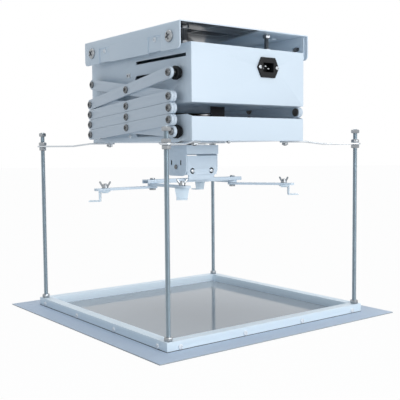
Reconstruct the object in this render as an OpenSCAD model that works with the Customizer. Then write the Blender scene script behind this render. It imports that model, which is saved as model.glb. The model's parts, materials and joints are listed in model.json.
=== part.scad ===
// Motorized projector lift: a ceiling bracket, a motor housing, a four-stage scissor on each
// side, a tray with a swivelling projector bracket, and a closure panel hung on four rods.
// Origin: centre of the ceiling bracket's top face. +X right along the front, +Y to the rear, +Z up.

/* [Ceiling bracket] */
// How far the bracket reaches past the housing on each side
bracket_reach = 18; // [16:0.5:24]
// Depth of the bracket, front to rear
bracket_d = 316; // [300:1:330]
// Height of the side flanges
bracket_h = 45; // [40:1:50]
// Sheet thickness of bracket, housing and tray
sheet_t = 2; // [1.5:0.25:2.5]
// Distance between the ceiling bolt holes, left to right
ceiling_hole_w = 230; // [200:5:240]
// Distance between the ceiling bolt holes, front to rear
ceiling_hole_d = 200; // [160:5:210]
// Diameter of the ceiling bolt holes
ceiling_hole = 9; // [6:0.5:11]

/* [Motor housing] */
// Width of housing and tray
housing_w = 257; // [250:1:264]
// Depth of housing and tray
housing_d = 329; // [320:1:345]
// Height of the housing
housing_h = 97; // [94:1:100]
// Free height between the ceiling and the housing's lid
housing_drop = 34; // [30:1:38]

/* [Scissor] */
// Length of an arm of stages two to four, pivot to pivot
arm_len = 265; // [255:1:270]
// Width of an arm
arm_w = 18.8; // [15:0.2:18.8]
// Thickness of an arm
arm_t = 5; // [4:0.25:6]
// Height of one closed stage; the top stage is twice as high
stage_h = 19.3; // [19.3:0.1:20.5]
// Diameter of the pivot pins
pin_d = 8; // [6:0.5:9]
// Diameter of the rollers
roller_d = 23; // [20:0.5:24]

/* [Tray] */
// Height of the tray's front and rear walls
tray_h = 40; // [36:1:44]
// Free height between housing and tray when the lift is up
tray_gap = 23; // [20:1:26]

/* [Closure panel] */
// Width and depth of the closure panel
panel_w = 530; // [500:5:560]
// Thickness of the closure panel
panel_t = 2; // [1.5:0.5:4]
// Outer width and depth of the frame on the panel
frame_w = 446; // [440:1:460]
// Height of the frame above the panel
frame_h = 15; // [14:1:20]
// Diameter of the threaded rods
rod_d = 8; // [6:1:8]
// Height of the panel's underside below the ceiling face when the lift is up
panel_drop = 518; // [500:2:560]

/* [Projector bracket] */
// Width of the tilt box
box_w = 70; // [66:1:76]
// Length of the cross bar
bar_len = 224; // [210:2:240]
// Length of a support arm, bolt to slot end
reach_len = 118; // [110:1:124]

/* [Hidden] */
$fn = 48;
// Overrun of cuts
over = 1;
// Radial running clearance of a pin in its hole
pin_fit = 0.06;
// Clearance between flat faces that slide on each other
slide_gap = 0.3;

// Colours of the sheet metal, the fittings and the plastics
sheet_colour = [0.78, 0.84, 0.92];
white_colour = [0.93, 0.95, 0.98];
steel_colour = [0.62, 0.65, 0.68];
dark_colour = [0.12, 0.12, 0.13];
zinc_colour = [0.74, 0.76, 0.78];

// Heights of housing and tray
housing_top_z = -housing_drop;
housing_low_z = housing_top_z - housing_h;
tray_top_z = housing_low_z - tray_gap;
tray_low_z = tray_top_z - tray_h;
half_w = housing_w / 2;
bracket_w = housing_w + 2 * bracket_reach;
half_d = housing_d / 2;
wall_in = half_w - sheet_t;

// Scissor: heights of the five pivot levels, arm lengths and arm angles
pivot_rise = 49;
// The bar between the two scissors, at the rear pivots below stage two
spreader_r = 6;
level_1 = housing_low_z + pivot_rise;
top_stage_h = 2 * stage_h;
rear_inset = 31.5;
rear_y = half_d - rear_inset;
span = sqrt(arm_len * arm_len - stage_h * stage_h);
front_y = rear_y - span;
top_arm_len = sqrt(span * span + top_stage_h * top_stage_h);
arm_angle = asin(stage_h / arm_len);
top_arm_angle = asin(top_stage_h / top_arm_len);
function level(k) = k == 1 ? level_1 : level_1 - top_stage_h - (k - 2) * stage_h;
function stage_angle(k) = k == 1 ? top_arm_angle : arm_angle;
function stage_len(k) = k == 1 ? top_arm_len : arm_len;
level_5 = level(5);

// Layers of a scissor, measured outwards from the middle of the lift
roller_gap = 12.5;
arm_gap = 0.4;
inner_x = half_w + roller_gap;
inner_end_x = inner_x + arm_t;
outer_x = inner_end_x + arm_gap;
outer_end_x = outer_x + arm_t;
pin_r = pin_d / 2;
head_r = 6.3;
head_t = 3;
ring_r = 7.5;
ring_t = 1.4;
ring_gap = 0.1;
collar_r = 7.5;
// Radial room round the one open pivot whose arms differ in length
open_pivot_room = 3.3;

// Roller tracks in the side walls of housing and tray
track_room = 0.4;
// The bush on a roller axle that slides in the track
bush_r = 6;
track_h = 2 * bush_r + 2 * track_room;
track_front_y = front_y - bush_r - track_room;
track_len = 143;
roller_w = 10;
roller_side = 1;
roller_step_w = 4;
roller_step = 2;
washer_r = 7;
washer_t = 2.2;

// Bracket details
corner_r = 8;
notch_w = 40;
notch_y = 84;
notch_drop = 17;
flange_bolt_y = 129;
flange_bolt_drop = 23;
flange_bolt_r = 4;
flange_head_r = 10;
flange_head_t = 4;
flange_slot_len = 12;
screw_r = 2;
screw_head_r = 4.2;
screw_head_t = 2.4;
screw_len = 8;
slot_w = 1.2;
slot_depth = 1.2;
rail_drop = 43;
rail_d = 300;
stud_left_inset = 12.5;
stud_right_inset = 60.5;
stud_left_x = stud_left_inset - half_w;
stud_right_x = half_w - stud_right_inset;
stud_y = 130;
stud_r = 4;
stud_len = 44;
nut_af = 13;
nut_h = 6.5;
nut_r = nut_af / sqrt(3);

// Upper long slot of the housing
vent_drop = 19;
vent_h = 5.5;
vent_front_y = -150;
vent_len = 152;

// Floor of the housing: its side flanges and the screws through them
floor_top_z = housing_low_z + sheet_t;
screw_rows = [-110, 28, 120];
floor_screw_rise = 10;
floor_flange_h = 16;

// Inlet on the front wall
inlet_x = 38.5;
inlet_z = -66;
inlet_ear = 5;
inlet_flat_w = 32;
inlet_h = 35;
inlet_t = 3;
inlet_pitch = 40;
inlet_w = inlet_pitch + 2 * inlet_ear;
inlet_body_w = 28;
inlet_body_h = 21;
inlet_body_d = 26;
socket_w = 24.5;
socket_h = 16.5;
socket_d = 19;
contact_w = 4;
contact_t = 2;
contact_len = 12;
contact_pitch = 7;
contact_rise = 2;
inlet_screw_r = 1.6;
inlet_screw_head_r = 3;
inlet_screw_head_t = 1.6;
inlet_screw_len = 9;

// Drum, belt and drive
drum_y = -45;
drum_rise = 46;
drum_z = housing_low_z + drum_rise;
drum_r = 25;
drum_core_r = 12;
drum_flange_r = 30;
drum_flange_t = 3;
belt_w = 33;
belt_t = 2;
belt_side = 0.5;
drum_half = belt_w / 2 + belt_side;
shaft_r = 6;
shaft_left_x = -36;
bearing_x = 26;
bearing_t = 6;
bearing_w = 40;
bearing_h = 62;
bearing_foot_d = 14;
bearing_foot_t = 3;
belt_y = drum_y - drum_r - slide_gap;
// Room round the belt in the housing's floor
belt_room = 4;
gearbox_x = 40;
gearbox_w = 26;
gearbox_size = 54;
gearbox_bevel = 6;
gear_boss_r = 12;
gear_boss_t = 4;
motor_r = 27;
// Room between the motor's end and the right wall
motor_room = 10.5;
motor_len = wall_in - motor_room - gearbox_x - gearbox_w;
motor_band_t = 6;
motor_band_r = 28;
plate_w = 60;

// Belt anchor on the tray's floor
anchor_h = 15.7;
anchor_w = 40;
anchor_d = 18;
clamp_h = 10;
clamp_w = 36;
clamp_d = 12;
anchor_screw_x = 14;

belt_low_z = tray_low_z + sheet_t + anchor_h + slide_gap + clamp_h;

// Control board
board_w = 100;
board_d = 70;
board_t = 1.6;
board_y = 95;
board_lift = 12;
board_z = floor_top_z + board_lift;
standoff_r = 3;
board_inset = 6;
transformer_w = 42;
transformer_d = 34;
transformer_h = 32;
cap_r = 8;
cap_h = 26;
relay_w = 16;
relay_d = 19;
relay_h = 15;
switch_w = 6;
switch_d = 20;
switch_h = 11;
switch_drop = 22;
switch_t = 1;

// Projector bracket
base_w = 92;
base_t = 3;
base_y = 8;
base_bolt = 36;
swivel_r = 6;
swivel_gap = 3;
yoke_top_z = tray_low_z - base_t - swivel_gap;
yoke_t = 2.5;
yoke_front_y = -24;
yoke_rear_y = 40;
yoke_h = 58;
yoke_low_z = yoke_top_z - yoke_h;
yoke_corner_r = 14;
lip_drop = 17;
lip_low_z = yoke_top_z - lip_drop;
rear_lip_drop = 19;
box_side_gap = 0.3;
box_top_drop = 20;
box_low_drop = 56;
box_top_z = yoke_top_z - box_top_drop;
box_low_z = yoke_top_z - box_low_drop;
box_t = 2;
box_rear_y = 34;
tilt_y = 8;
tilt_drop = 41;
tilt_z = yoke_top_z - tilt_drop;
tilt_r = 3;
tilt_head_r = 4.4;
tilt_head_t = 1.4;
tilt_slot_y = 15;
tilt_slot_z = 8;
tilt_slot_h = 9;
tilt_slot_w = 3;
roll_drop = 48.5;
roll_z = yoke_top_z - roll_drop;
roll_arc_r = 4.5;
roll_arc_w = 2.4;
roll_x = 22.5;
// The stud on the back of the tilt box that the lug turns on
roll_stud_r = 4;
roll_stud_cap = 1.5;
roll_r = 2;
// Room round a roll bolt in the tilt box's front plate
pin_room = 0.8;
bar_gap = 7;
bar_t = 2.5;
bar_h = 7;
bar_w = 20;
bar_y = 2;
bar_top_z = box_low_z - bar_gap;
bar_z = bar_top_z - bar_h;
bolt_x = 96;
bolt_r = 3;
bolt_head_t = 4;
arm_bolt_head_r = 4.6;
arm_bolt_head_t = 2.8;
arm_bolt_nut_t = 3.2;
bolt_nut_t = 4.5;
lug_w = 60;
lug_t = 2.5;
lug_gap = 0.4;

// Support arms and hooks
reach_t = 4;
reach_w = 18;
reach_slot_start = 55;
reach_slot_w = 6;
reach_layer = 0.4;
arm_top_z = bar_z - reach_layer;
lower_arm_top_z = arm_top_z - reach_t - reach_layer;
arm_end_z = lower_arm_top_z - reach_t;
// Directions of the four arms in plan
left_turn = 185;
front_turn = 265;
right_turn = -58;
rear_turn = 87;
// How far each hook is turned on its stud, and each wing nut on its hook
left_hook_turn = -42;
front_hook_turn = -32;
right_hook_turn = 21;
rear_hook_turn = 0;
left_wing_turn = 80;
front_wing_turn = 15;
right_wing_turn = 45;
rear_wing_turn = 30;
hook_at = 106;
hook_w = 25;
hook_foot_w = 19;
hook_t = 2;
hook_drop = 17;
hook_foot = 20;
hook_tab = 16;
hook_hole_r = 2.25;
hook_stud_r = 2.8;
wing_r = 5;
wing_h = 6;
wing_t = 2;
wing_top = 12;

// Straps, rods and frame
rod_r = rod_d / 2;
rod_inset = 9;
rod_at = frame_w / 2 - rod_inset;
rod_rise = 21;
rod_top_z = tray_low_z + rod_rise;
rod_end_gap = 3;
rod_tip = 1;
strap_drop = 4.5;
strap_t = 3;
strap_w = 20;
strap_bolt_inset_x = 23.5;
strap_bolt_inset_y = 24.5;
strap_bolt_x = half_w - strap_bolt_inset_x;
strap_bolt_y = half_d - strap_bolt_inset_y;
strap_bolt_r = 3;
strap_z = tray_low_z - strap_drop;
strap_slot_len = 50;
strap_slot_room = 0.3;
strap_dx = rod_at - strap_bolt_x;
strap_dy = rod_at - strap_bolt_y;
strap_len = sqrt(strap_dx * strap_dx + strap_dy * strap_dy);
strap_angle = atan2(strap_dy, strap_dx);
// The strap's flat tab under the tray, and where its slope ends
strap_tab = 38;
strap_slope_end = strap_len - strap_slot_len - strap_w / 2;
// A small screw through the tray's floor near its front edge
tray_screw_x = -39;
tray_screw_y = -150;
panel_low_z = -panel_drop;
panel_top_z = panel_low_z + panel_t;
frame_top_z = panel_top_z + frame_h;
rail_w = 18;
rail_t = 1.5;
mitre_gap = 0.1;
// Screws through the outer walls of the rails
frame_screw_rise = 5;
frame_screw_inset = 25;
frame_screw_pitch = (frame_w - 2 * frame_screw_inset) / 3;
frame_screw_len = 8;

// Side walls of the tray: their extra height and the length of the slope at both ends
side_rise = 4;
side_slope = 14;

// Copies the children to the other side of the lift
module both_sides() {
    children();
    mirror([1, 0, 0]) children();
}

// Copies the children to the rear
module front_and_rear() {
    children();
    mirror([0, 1, 0]) children();
}

// A flat plate standing at x, its outline drawn in y and z
module side_sheet(x, t) {
    translate([x, 0, 0]) rotate([90, 0, 90]) linear_extrude(t) children();
}

// A round bar along x from x1 to x2
module x_bar(x1, x2, r) {
    translate([x1, 0, 0]) rotate([0, 90, 0]) cylinder(h = x2 - x1, r = r);
}

// A slot with round ends, drawn from the origin along its first axis
module slot_outline(length, w) {
    translate([0, -w / 2]) square([length, w]);
    circle(d = w);
    translate([length, 0]) circle(d = w);
}

// A hexagon nut with its bore, standing on the origin
module hex_nut(bore_r, r, h) {
    difference() {
        cylinder(h = h, r = r, $fn = 6);
        translate([0, 0, -over]) cylinder(h = h + 2 * over, r = bore_r + pin_fit);
    }
}

// A screw along -z with a slotted round head on top of the origin
module screw(r, length, head_radius, head_height) {
    translate([0, 0, -length]) cylinder(h = length, r = r);
    difference() {
        cylinder(h = head_height, r = head_radius);
        translate([-head_radius - over, -slot_w / 2, head_height - slot_depth])
            cube([2 * head_radius + 2 * over, slot_w, slot_depth + over]);
    }
}

// Ceiling bracket: a top plate and two side flanges with notches and slots
module flange_outline() {
    difference() {
        union() {
            translate([-bracket_d / 2, corner_r - bracket_h]) square([bracket_d, bracket_h - corner_r]);
            translate([corner_r - bracket_d / 2, -bracket_h]) square([bracket_d - 2 * corner_r, bracket_h]);
            for (s = [-1, 1]) translate([s * (bracket_d / 2 - corner_r), corner_r - bracket_h]) circle(corner_r);
        }
        for (s = [-1, 1]) {
            translate([s * notch_y - notch_w / 2, -bracket_h - over])
                square([notch_w, bracket_h - notch_drop + over]);
            translate([s * flange_bolt_y - flange_slot_len / 2, -flange_bolt_drop])
                slot_outline(flange_slot_len, 2 * flange_bolt_r);
        }
    }
}

module ceiling_bracket() {
    color(sheet_colour) difference() {
        union() {
            translate([-bracket_w / 2, -bracket_d / 2, -sheet_t]) cube([bracket_w, bracket_d, sheet_t]);
            both_sides() side_sheet(bracket_w / 2 - sheet_t, sheet_t) flange_outline();
        }
        for (sx = [-1, 1], sy = [-1, 1])
            translate([sx * ceiling_hole_w / 2, sy * ceiling_hole_d / 2, -sheet_t - over])
                cylinder(h = sheet_t + 2 * over, d = ceiling_hole);
    }
}

// Rails inside the flanges
module hanger_rails() {
    color(sheet_colour) both_sides() side_sheet(bracket_w / 2 - 2 * sheet_t, sheet_t) difference() {
        translate([-rail_d / 2, -rail_drop]) square([rail_d, rail_drop - sheet_t]);
        for (s = [-1, 1]) {
            translate([s * flange_bolt_y - flange_slot_len / 2, -flange_bolt_drop])
                slot_outline(flange_slot_len, 2 * flange_bolt_r);
            translate([s * notch_y, -flange_bolt_drop]) circle(screw_r);
        }
    }
}

module bracket_fasteners() {
    color(steel_colour) both_sides() front_and_rear() {
        translate([bracket_w / 2, flange_bolt_y, -flange_bolt_drop]) rotate([0, 90, 0])
            screw(flange_bolt_r, 2 * sheet_t, flange_head_r, flange_head_t);
        translate([bracket_w / 2 - sheet_t, notch_y, -flange_bolt_drop]) rotate([0, 90, 0])
            screw(screw_r, sheet_t, screw_head_r, screw_head_t);
    }
}

module at_studs() {
    for (x = [stud_left_x, stud_right_x], y = [-stud_y, stud_y]) translate([x, y, 0]) children();
}

module hanging_studs() {
    color(zinc_colour) at_studs() {
        translate([0, 0, -sheet_t - stud_len]) cylinder(h = stud_len, r = stud_r);
        for (z = [-sheet_t - nut_h, housing_top_z, housing_top_z - sheet_t - nut_h])
            translate([0, 0, z]) hex_nut(stud_r, nut_r, nut_h);
    }
}

// Motor housing: a sleeve of four walls, a lid and a floor
module track_slot(z) {
    translate([track_front_y + track_h / 2, z]) slot_outline(track_len - track_h, track_h);
}

module housing_side() {
    difference() {
        translate([-half_d, housing_low_z]) square([housing_d, housing_h]);
        track_slot(level_1);
        translate([rear_y, level_1]) circle(pin_r);
        translate([vent_front_y, housing_top_z - vent_drop - vent_h / 2]) square([vent_len, vent_h]);
        for (y = screw_rows) translate([y, housing_low_z + floor_screw_rise]) circle(screw_r);
    }
}

module housing_cover() {
    color(white_colour) {
        both_sides() side_sheet(wall_in, sheet_t) housing_side();
        difference() {
            translate([-wall_in, -half_d, housing_low_z]) cube([2 * wall_in, sheet_t, housing_h]);
            translate([inlet_x - inlet_body_w / 2, -half_d - over, inlet_z - inlet_body_h / 2])
                cube([inlet_body_w, sheet_t + 2 * over, inlet_body_h]);
            for (s = [-1, 1]) translate([inlet_x + s * inlet_pitch / 2, over - half_d + sheet_t, inlet_z])
                rotate([90, 0, 0]) cylinder(h = sheet_t + 2 * over, r = inlet_screw_r);
        }
        translate([-wall_in, half_d - sheet_t, housing_low_z]) cube([2 * wall_in, sheet_t, housing_h]);
    }
}

module housing_lid() {
    color(sheet_colour) difference() {
        translate([-wall_in, sheet_t - half_d, housing_top_z - sheet_t])
            cube([2 * wall_in, housing_d - 2 * sheet_t, sheet_t]);
        at_studs() translate([0, 0, housing_top_z - sheet_t - over])
            cylinder(h = sheet_t + 2 * over, r = stud_r);
    }
}

module housing_floor() {
    color(sheet_colour) {
        difference() {
            translate([-wall_in, sheet_t - half_d, housing_low_z])
                cube([2 * wall_in, housing_d - 2 * sheet_t, sheet_t]);
            translate([-belt_w / 2 - belt_room, belt_y - belt_t - belt_room, housing_low_z - over])
                cube([belt_w + 2 * belt_room, belt_t + 2 * belt_room, sheet_t + 2 * over]);
        }
        both_sides() side_sheet(wall_in - sheet_t, sheet_t) difference() {
            translate([sheet_t - half_d, housing_low_z + sheet_t])
                square([housing_d - 2 * sheet_t, floor_flange_h - sheet_t]);
            for (y = screw_rows) translate([y, housing_low_z + floor_screw_rise]) circle(screw_r);
        }
    }
}

module housing_screws() {
    color(zinc_colour) both_sides() for (y = screw_rows)
        translate([half_w, y, housing_low_z + floor_screw_rise]) rotate([0, 90, 0])
            screw(screw_r, screw_len, screw_head_r, screw_head_t);
}

// Mains inlet: a six-sided flange and a socket
module inlet_outline() {
    polygon([[-inlet_w / 2, 0], [-inlet_flat_w / 2, -inlet_h / 2], [inlet_flat_w / 2, -inlet_h / 2],
        [inlet_w / 2, 0], [inlet_flat_w / 2, inlet_h / 2], [-inlet_flat_w / 2, inlet_h / 2]]);
}

module power_inlet() {
    color(dark_colour) difference() {
        union() {
            translate([inlet_x, -half_d, inlet_z]) rotate([90, 0, 0]) linear_extrude(inlet_t) inlet_outline();
            translate([inlet_x - inlet_body_w / 2, -half_d, inlet_z - inlet_body_h / 2])
                cube([inlet_body_w, inlet_body_d, inlet_body_h]);
        }
        translate([inlet_x - socket_w / 2, -half_d - inlet_t - over, inlet_z - socket_h / 2])
            cube([socket_w, socket_d + over, socket_h]);
        for (s = [-1, 1]) translate([inlet_x + s * inlet_pitch / 2, over - half_d, inlet_z])
            rotate([90, 0, 0]) cylinder(h = inlet_t + 2 * over, r = inlet_screw_r);
    }
}

module inlet_fittings() {
    color(zinc_colour) {
        for (s = [-1, 0, 1])
            translate([inlet_x + s * contact_pitch - contact_w / 2,
                socket_d - half_d - inlet_t - contact_len, inlet_z + (s == 0 ? contact_rise : -contact_rise)])
                cube([contact_w, contact_len, contact_t]);
        for (s = [-1, 1]) translate([inlet_x + s * inlet_pitch / 2, -half_d - inlet_t, inlet_z])
            rotate([90, 0, 0]) screw(inlet_screw_r, inlet_screw_len, inlet_screw_head_r, inlet_screw_head_t);
    }
}

// Drive: motor, gearbox, drum and their supports
module motor() {
    color(dark_colour) translate([0, drum_y, drum_z]) {
        x_bar(gearbox_x + gearbox_w, gearbox_x + gearbox_w + motor_len, motor_r);
        x_bar(gearbox_x + gearbox_w, gearbox_x + gearbox_w + motor_band_t, motor_band_r);
    }
}

module gearbox() {
    color(steel_colour) translate([gearbox_x, drum_y, drum_z]) {
        rotate([90, 0, 90]) linear_extrude(gearbox_w) difference() {
            square(gearbox_size, center = true);
            for (a = [0 : 3]) rotate(a * 90) translate([gearbox_size / 2, gearbox_size / 2])
                rotate(45) square(gearbox_bevel * sqrt(2), center = true);
        }
        difference() {
            x_bar(-gear_boss_t, 0, gear_boss_r);
            x_bar(-gear_boss_t - over, 0, shaft_r + pin_fit);
        }
    }
}

module drum_supports() {
    color(zinc_colour) {
        both_sides() difference() {
            union() {
                translate([bearing_x, drum_y - bearing_w / 2, floor_top_z]) cube([bearing_t, bearing_w, bearing_h]);
                translate([bearing_x, drum_y - bearing_w / 2 - bearing_foot_d, floor_top_z])
                    cube([bearing_t, bearing_w + 2 * bearing_foot_d, bearing_foot_t]);
            }
            translate([0, drum_y, drum_z]) x_bar(bearing_x - over, bearing_x + bearing_t + over, shaft_r + pin_fit);
        }
        translate([gearbox_x, drum_y - plate_w / 2, floor_top_z])
            cube([gearbox_w, plate_w, drum_z - gearbox_size / 2 - floor_top_z]);
    }
}

module drum_shaft() {
    color(steel_colour) translate([0, drum_y, drum_z]) x_bar(shaft_left_x, gearbox_x, shaft_r);
}

module belt_drum() {
    color(steel_colour) translate([0, drum_y, drum_z]) difference() {
        union() {
            x_bar(-drum_half - drum_flange_t, drum_half + drum_flange_t, drum_core_r);
            for (x = [-drum_half - drum_flange_t, drum_half]) x_bar(x, x + drum_flange_t, drum_flange_r);
        }
        x_bar(-drum_half - drum_flange_t - over, drum_half + drum_flange_t + over, shaft_r);
    }
    color(dark_colour) translate([0, drum_y, drum_z]) difference() {
        x_bar(-belt_w / 2, belt_w / 2, drum_r);
        x_bar(-belt_w / 2 - over, belt_w / 2 + over, drum_core_r);
    }
}

// Lift belt: its straight run, and the clamp sewn to its end
module belt() {
    color(dark_colour) translate([-belt_w / 2, belt_y - belt_t, belt_low_z])
        cube([belt_w, belt_t, drum_z - belt_low_z]);
}

module belt_end() {
    color(dark_colour) translate([-clamp_w / 2, belt_y - belt_t / 2 - clamp_d / 2, belt_low_z - clamp_h])
        cube([clamp_w, clamp_d, clamp_h]);
}

module belt_anchor() {
    color(zinc_colour) difference() {
        translate([-anchor_w / 2, belt_y - belt_t / 2 - anchor_d / 2, tray_low_z + sheet_t])
            cube([anchor_w, anchor_d, anchor_h]);
        for (s = [-1, 1]) translate([s * anchor_screw_x, belt_y - belt_t / 2, tray_low_z])
            cylinder(h = anchor_h + 2 * sheet_t, r = screw_r);
    }
}

// Control board on standoffs, its large parts, and the limit switches
module control_board() {
    color([0.1, 0.4, 0.2]) translate([-board_w / 2, board_y - board_d / 2, board_z]) cube([board_w, board_d, board_t]);
    color(zinc_colour) for (sx = [-1, 1], sy = [-1, 1])
        translate([sx * (board_w / 2 - board_inset), board_y + sy * (board_d / 2 - board_inset), board_z - board_lift])
            cylinder(h = board_lift, r = standoff_r);
}

module board_parts() {
    top = board_z + board_t;
    color(dark_colour) {
        translate([-transformer_w, board_y - transformer_d / 2, top]) cube([transformer_w, transformer_d, transformer_h]);
        for (s = [-1, 1]) {
            translate([board_w / 2 - 2 * board_inset - cap_r, board_y + s * (cap_r + board_t), top]) cylinder(h = cap_h, r = cap_r);
            translate([board_inset, board_y + s * board_inset - (s < 0 ? relay_d : 0), top]) cube([relay_w, relay_d, relay_h]);
        }
    }
}

module limit_switches() {
    color(dark_colour) for (y = [track_front_y, track_front_y + track_len - switch_d])
        translate([switch_t - wall_in, y, level_1 - switch_drop - switch_h]) {
            cube([switch_w, switch_d, switch_h]);
            translate([-switch_t, 0, 0]) cube([switch_t, switch_d, switch_h]);
        }
}

// Fixed pivots of the first inner arms on the housing
module fixed_pivots() {
    color(dark_colour) both_sides() translate([0, rear_y, level_1]) {
        x_bar(wall_in - nut_h, inner_end_x + slide_gap, pin_r);
        x_bar(half_w, inner_x - slide_gap, collar_r);
        x_bar(wall_in - nut_h, wall_in, head_r);
        x_bar(inner_end_x + slide_gap, inner_end_x + slide_gap + head_t, head_r);
    }
}

// Scissor arms. An inner arm runs from the rear down to the front, an outer arm the other way.
module arm_outline(length, start_r, middle_r, end_r) {
    difference() {
        slot_outline(length, arm_w);
        circle(start_r);
        translate([length / 2, 0]) circle(middle_r);
        translate([length, 0]) circle(end_r);
    }
}

module inner_arms(k) {
    end_r = k == 1 ? pin_r + open_pivot_room : (k == 4 ? pin_r : pin_r + pin_fit + slide_gap);
    color(white_colour) both_sides() side_sheet(inner_x, arm_t)
        translate([rear_y, level(k)]) rotate(180 + stage_angle(k))
            arm_outline(stage_len(k), pin_r + pin_fit, pin_r + pin_fit, end_r);
}

module outer_arms(k) {
    color(white_colour) both_sides() side_sheet(outer_x, arm_t)
        translate([front_y, level(k)]) rotate(-stage_angle(k)) arm_outline(stage_len(k), pin_r, pin_r, pin_r);
}

// A pivot screw through both arms, with its head outside and its ring inside
module pivot_screw(y, z) {
    translate([0, y, z]) {
        x_bar(inner_x - ring_gap - ring_t, outer_end_x, pin_r);
        x_bar(inner_x - ring_gap - ring_t, inner_x - ring_gap, ring_r);
        x_bar(outer_end_x, outer_end_x + head_t, head_r);
    }
}

// A roller axle: through its arm, the roller and the wall's track, with a washer inside the wall
module roller_axle(y, z, arm_in_x, arm_out_x) {
    translate([0, y, z]) {
        x_bar(wall_in - slide_gap - washer_t, arm_out_x, pin_r);
        x_bar(wall_in - slide_gap - washer_t, wall_in - slide_gap, washer_r);
        x_bar(wall_in - slide_gap, half_w + slide_gap, bush_r);
        x_bar(half_w + roller_side + roller_w + slide_gap, arm_in_x, head_r);
        x_bar(arm_out_x, arm_out_x + head_t, head_r);
    }
}

module pivot_screws(k) {
    color(dark_colour) both_sides() {
        if (k == 1) roller_axle(front_y, level(1), outer_x, outer_end_x);
        if (k > 1) pivot_screw(front_y, level(k));
        pivot_screw((front_y + rear_y) / 2, (level(k) + level(k + 1)) / 2);
        if (k < 4) pivot_screw(rear_y, level(k + 1));
        if (k == 2) translate([0, rear_y, level(k + 1)]) x_bar(0, inner_x - ring_gap - ring_t, spreader_r);
        if (k == 4) tray_pivot();
    }
}

// The pivot of the last outer arm in the tray's side wall
module tray_pivot() {
    translate([0, rear_y, level_5]) {
        x_bar(wall_in - ring_gap - ring_t, outer_end_x, pin_r);
        x_bar(wall_in - ring_gap - ring_t, wall_in - ring_gap, ring_r);
        x_bar(half_w + slide_gap, outer_x, collar_r);
        x_bar(outer_end_x, outer_end_x + head_t, head_r);
    }
}

module lower_axles() {
    color(dark_colour) both_sides() roller_axle(front_y, level_5, inner_x, inner_end_x);
}

module rollers(z) {
    inside = half_w + roller_side;
    color(dark_colour) both_sides() translate([0, front_y, z]) difference() {
        union() {
            x_bar(inside + roller_step_w, inside + roller_w, roller_d / 2);
            x_bar(inside, inside + roller_w, roller_d / 2 - roller_step);
        }
        x_bar(inside - over, inside + roller_w + over, pin_r + pin_fit);
    }
}

// Tray: a floor, front and rear walls, and higher side walls that slope down at both ends
module tray_side() {
    difference() {
        polygon([[-half_d, tray_low_z], [half_d, tray_low_z], [half_d, tray_top_z],
            [half_d - side_slope, tray_top_z + side_rise], [side_slope - half_d, tray_top_z + side_rise],
            [-half_d, tray_top_z]]);
        track_slot(level_5);
        translate([rear_y, level_5]) circle(pin_r + pin_fit);
    }
}

module at_strap_bolts() {
    both_sides() front_and_rear() translate([strap_bolt_x, strap_bolt_y, 0]) children();
}

module at_base_bolts() {
    for (sx = [-1, 1], sy = [-1, 1]) translate([sx * base_bolt, base_y + sy * base_bolt, 0]) children();
}

module tray_pan() {
    color(white_colour) difference() {
        union() {
            both_sides() side_sheet(wall_in, sheet_t) tray_side();
            for (y = [-half_d, half_d - sheet_t])
                translate([-wall_in, y, tray_low_z]) cube([2 * wall_in, sheet_t, tray_h]);
            translate([-wall_in, sheet_t - half_d, tray_low_z]) cube([2 * wall_in, housing_d - 2 * sheet_t, sheet_t]);
        }
        at_strap_bolts() translate([0, 0, tray_low_z - over]) cylinder(h = sheet_t + 2 * over, r = strap_bolt_r);
        at_base_bolts() translate([0, 0, tray_low_z - over]) cylinder(h = sheet_t + 2 * over, r = screw_r);
        translate([tray_screw_x, tray_screw_y, tray_low_z - over]) cylinder(h = sheet_t + 2 * over, r = screw_r);
        for (s = [-1, 1]) translate([s * anchor_screw_x, belt_y - belt_t / 2, tray_low_z - over])
            cylinder(h = sheet_t + 2 * over, r = screw_r);
    }
}

// Straps from the tray's corners to the rods
module strap_plan() {
    difference() {
        slot_outline(strap_len, strap_w);
        circle(strap_bolt_r);
        translate([strap_len - strap_slot_len, 0]) slot_outline(strap_slot_len, rod_d + 2 * strap_slot_room);
    }
}

// The strap from its side: flat under the tray, sloped, and flat again at the rod
module strap_side() {
    polygon([[-strap_w, tray_low_z], [strap_tab, tray_low_z], [strap_slope_end, strap_z],
        [strap_len + strap_w, strap_z], [strap_len + strap_w, strap_z - strap_t],
        [strap_slope_end, strap_z - strap_t], [strap_tab, tray_low_z - strap_t], [-strap_w, tray_low_z - strap_t]]);
}

module straps() {
    color(zinc_colour) both_sides() front_and_rear() translate([strap_bolt_x, strap_bolt_y, 0]) rotate(strap_angle)
        intersection() {
            translate([0, strap_w, 0]) rotate([90, 0, 0]) linear_extrude(2 * strap_w) strap_side();
            translate([0, 0, strap_z - strap_t - over])
                linear_extrude(tray_low_z - strap_z + strap_t + 2 * over) strap_plan();
        }
}

module strap_bolts() {
    low = tray_low_z - strap_t - bolt_nut_t;
    color(zinc_colour) {
        at_strap_bolts() {
            translate([0, 0, tray_low_z + sheet_t]) cylinder(h = bolt_head_t, r = head_r);
            translate([0, 0, low - rod_tip]) cylinder(h = tray_low_z + sheet_t + rod_tip - low, r = strap_bolt_r);
            translate([0, 0, low]) hex_nut(strap_bolt_r, head_r, bolt_nut_t);
        }
        translate([tray_screw_x, tray_screw_y, 0]) {
            translate([0, 0, tray_low_z + sheet_t]) cylinder(h = screw_head_t, r = screw_head_r);
            translate([0, 0, tray_low_z - bolt_nut_t]) cylinder(h = bolt_nut_t + sheet_t, r = screw_r);
            translate([0, 0, tray_low_z - bolt_nut_t + rod_tip])
                hex_nut(screw_r, screw_head_r + pin_fit, bolt_nut_t - rod_tip);
        }
    }
}

// Threaded rods and their nuts: one pair holds the strap, one pair the corner gusset
module at_rods() {
    both_sides() front_and_rear() translate([rod_at, rod_at, 0]) children();
}

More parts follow.
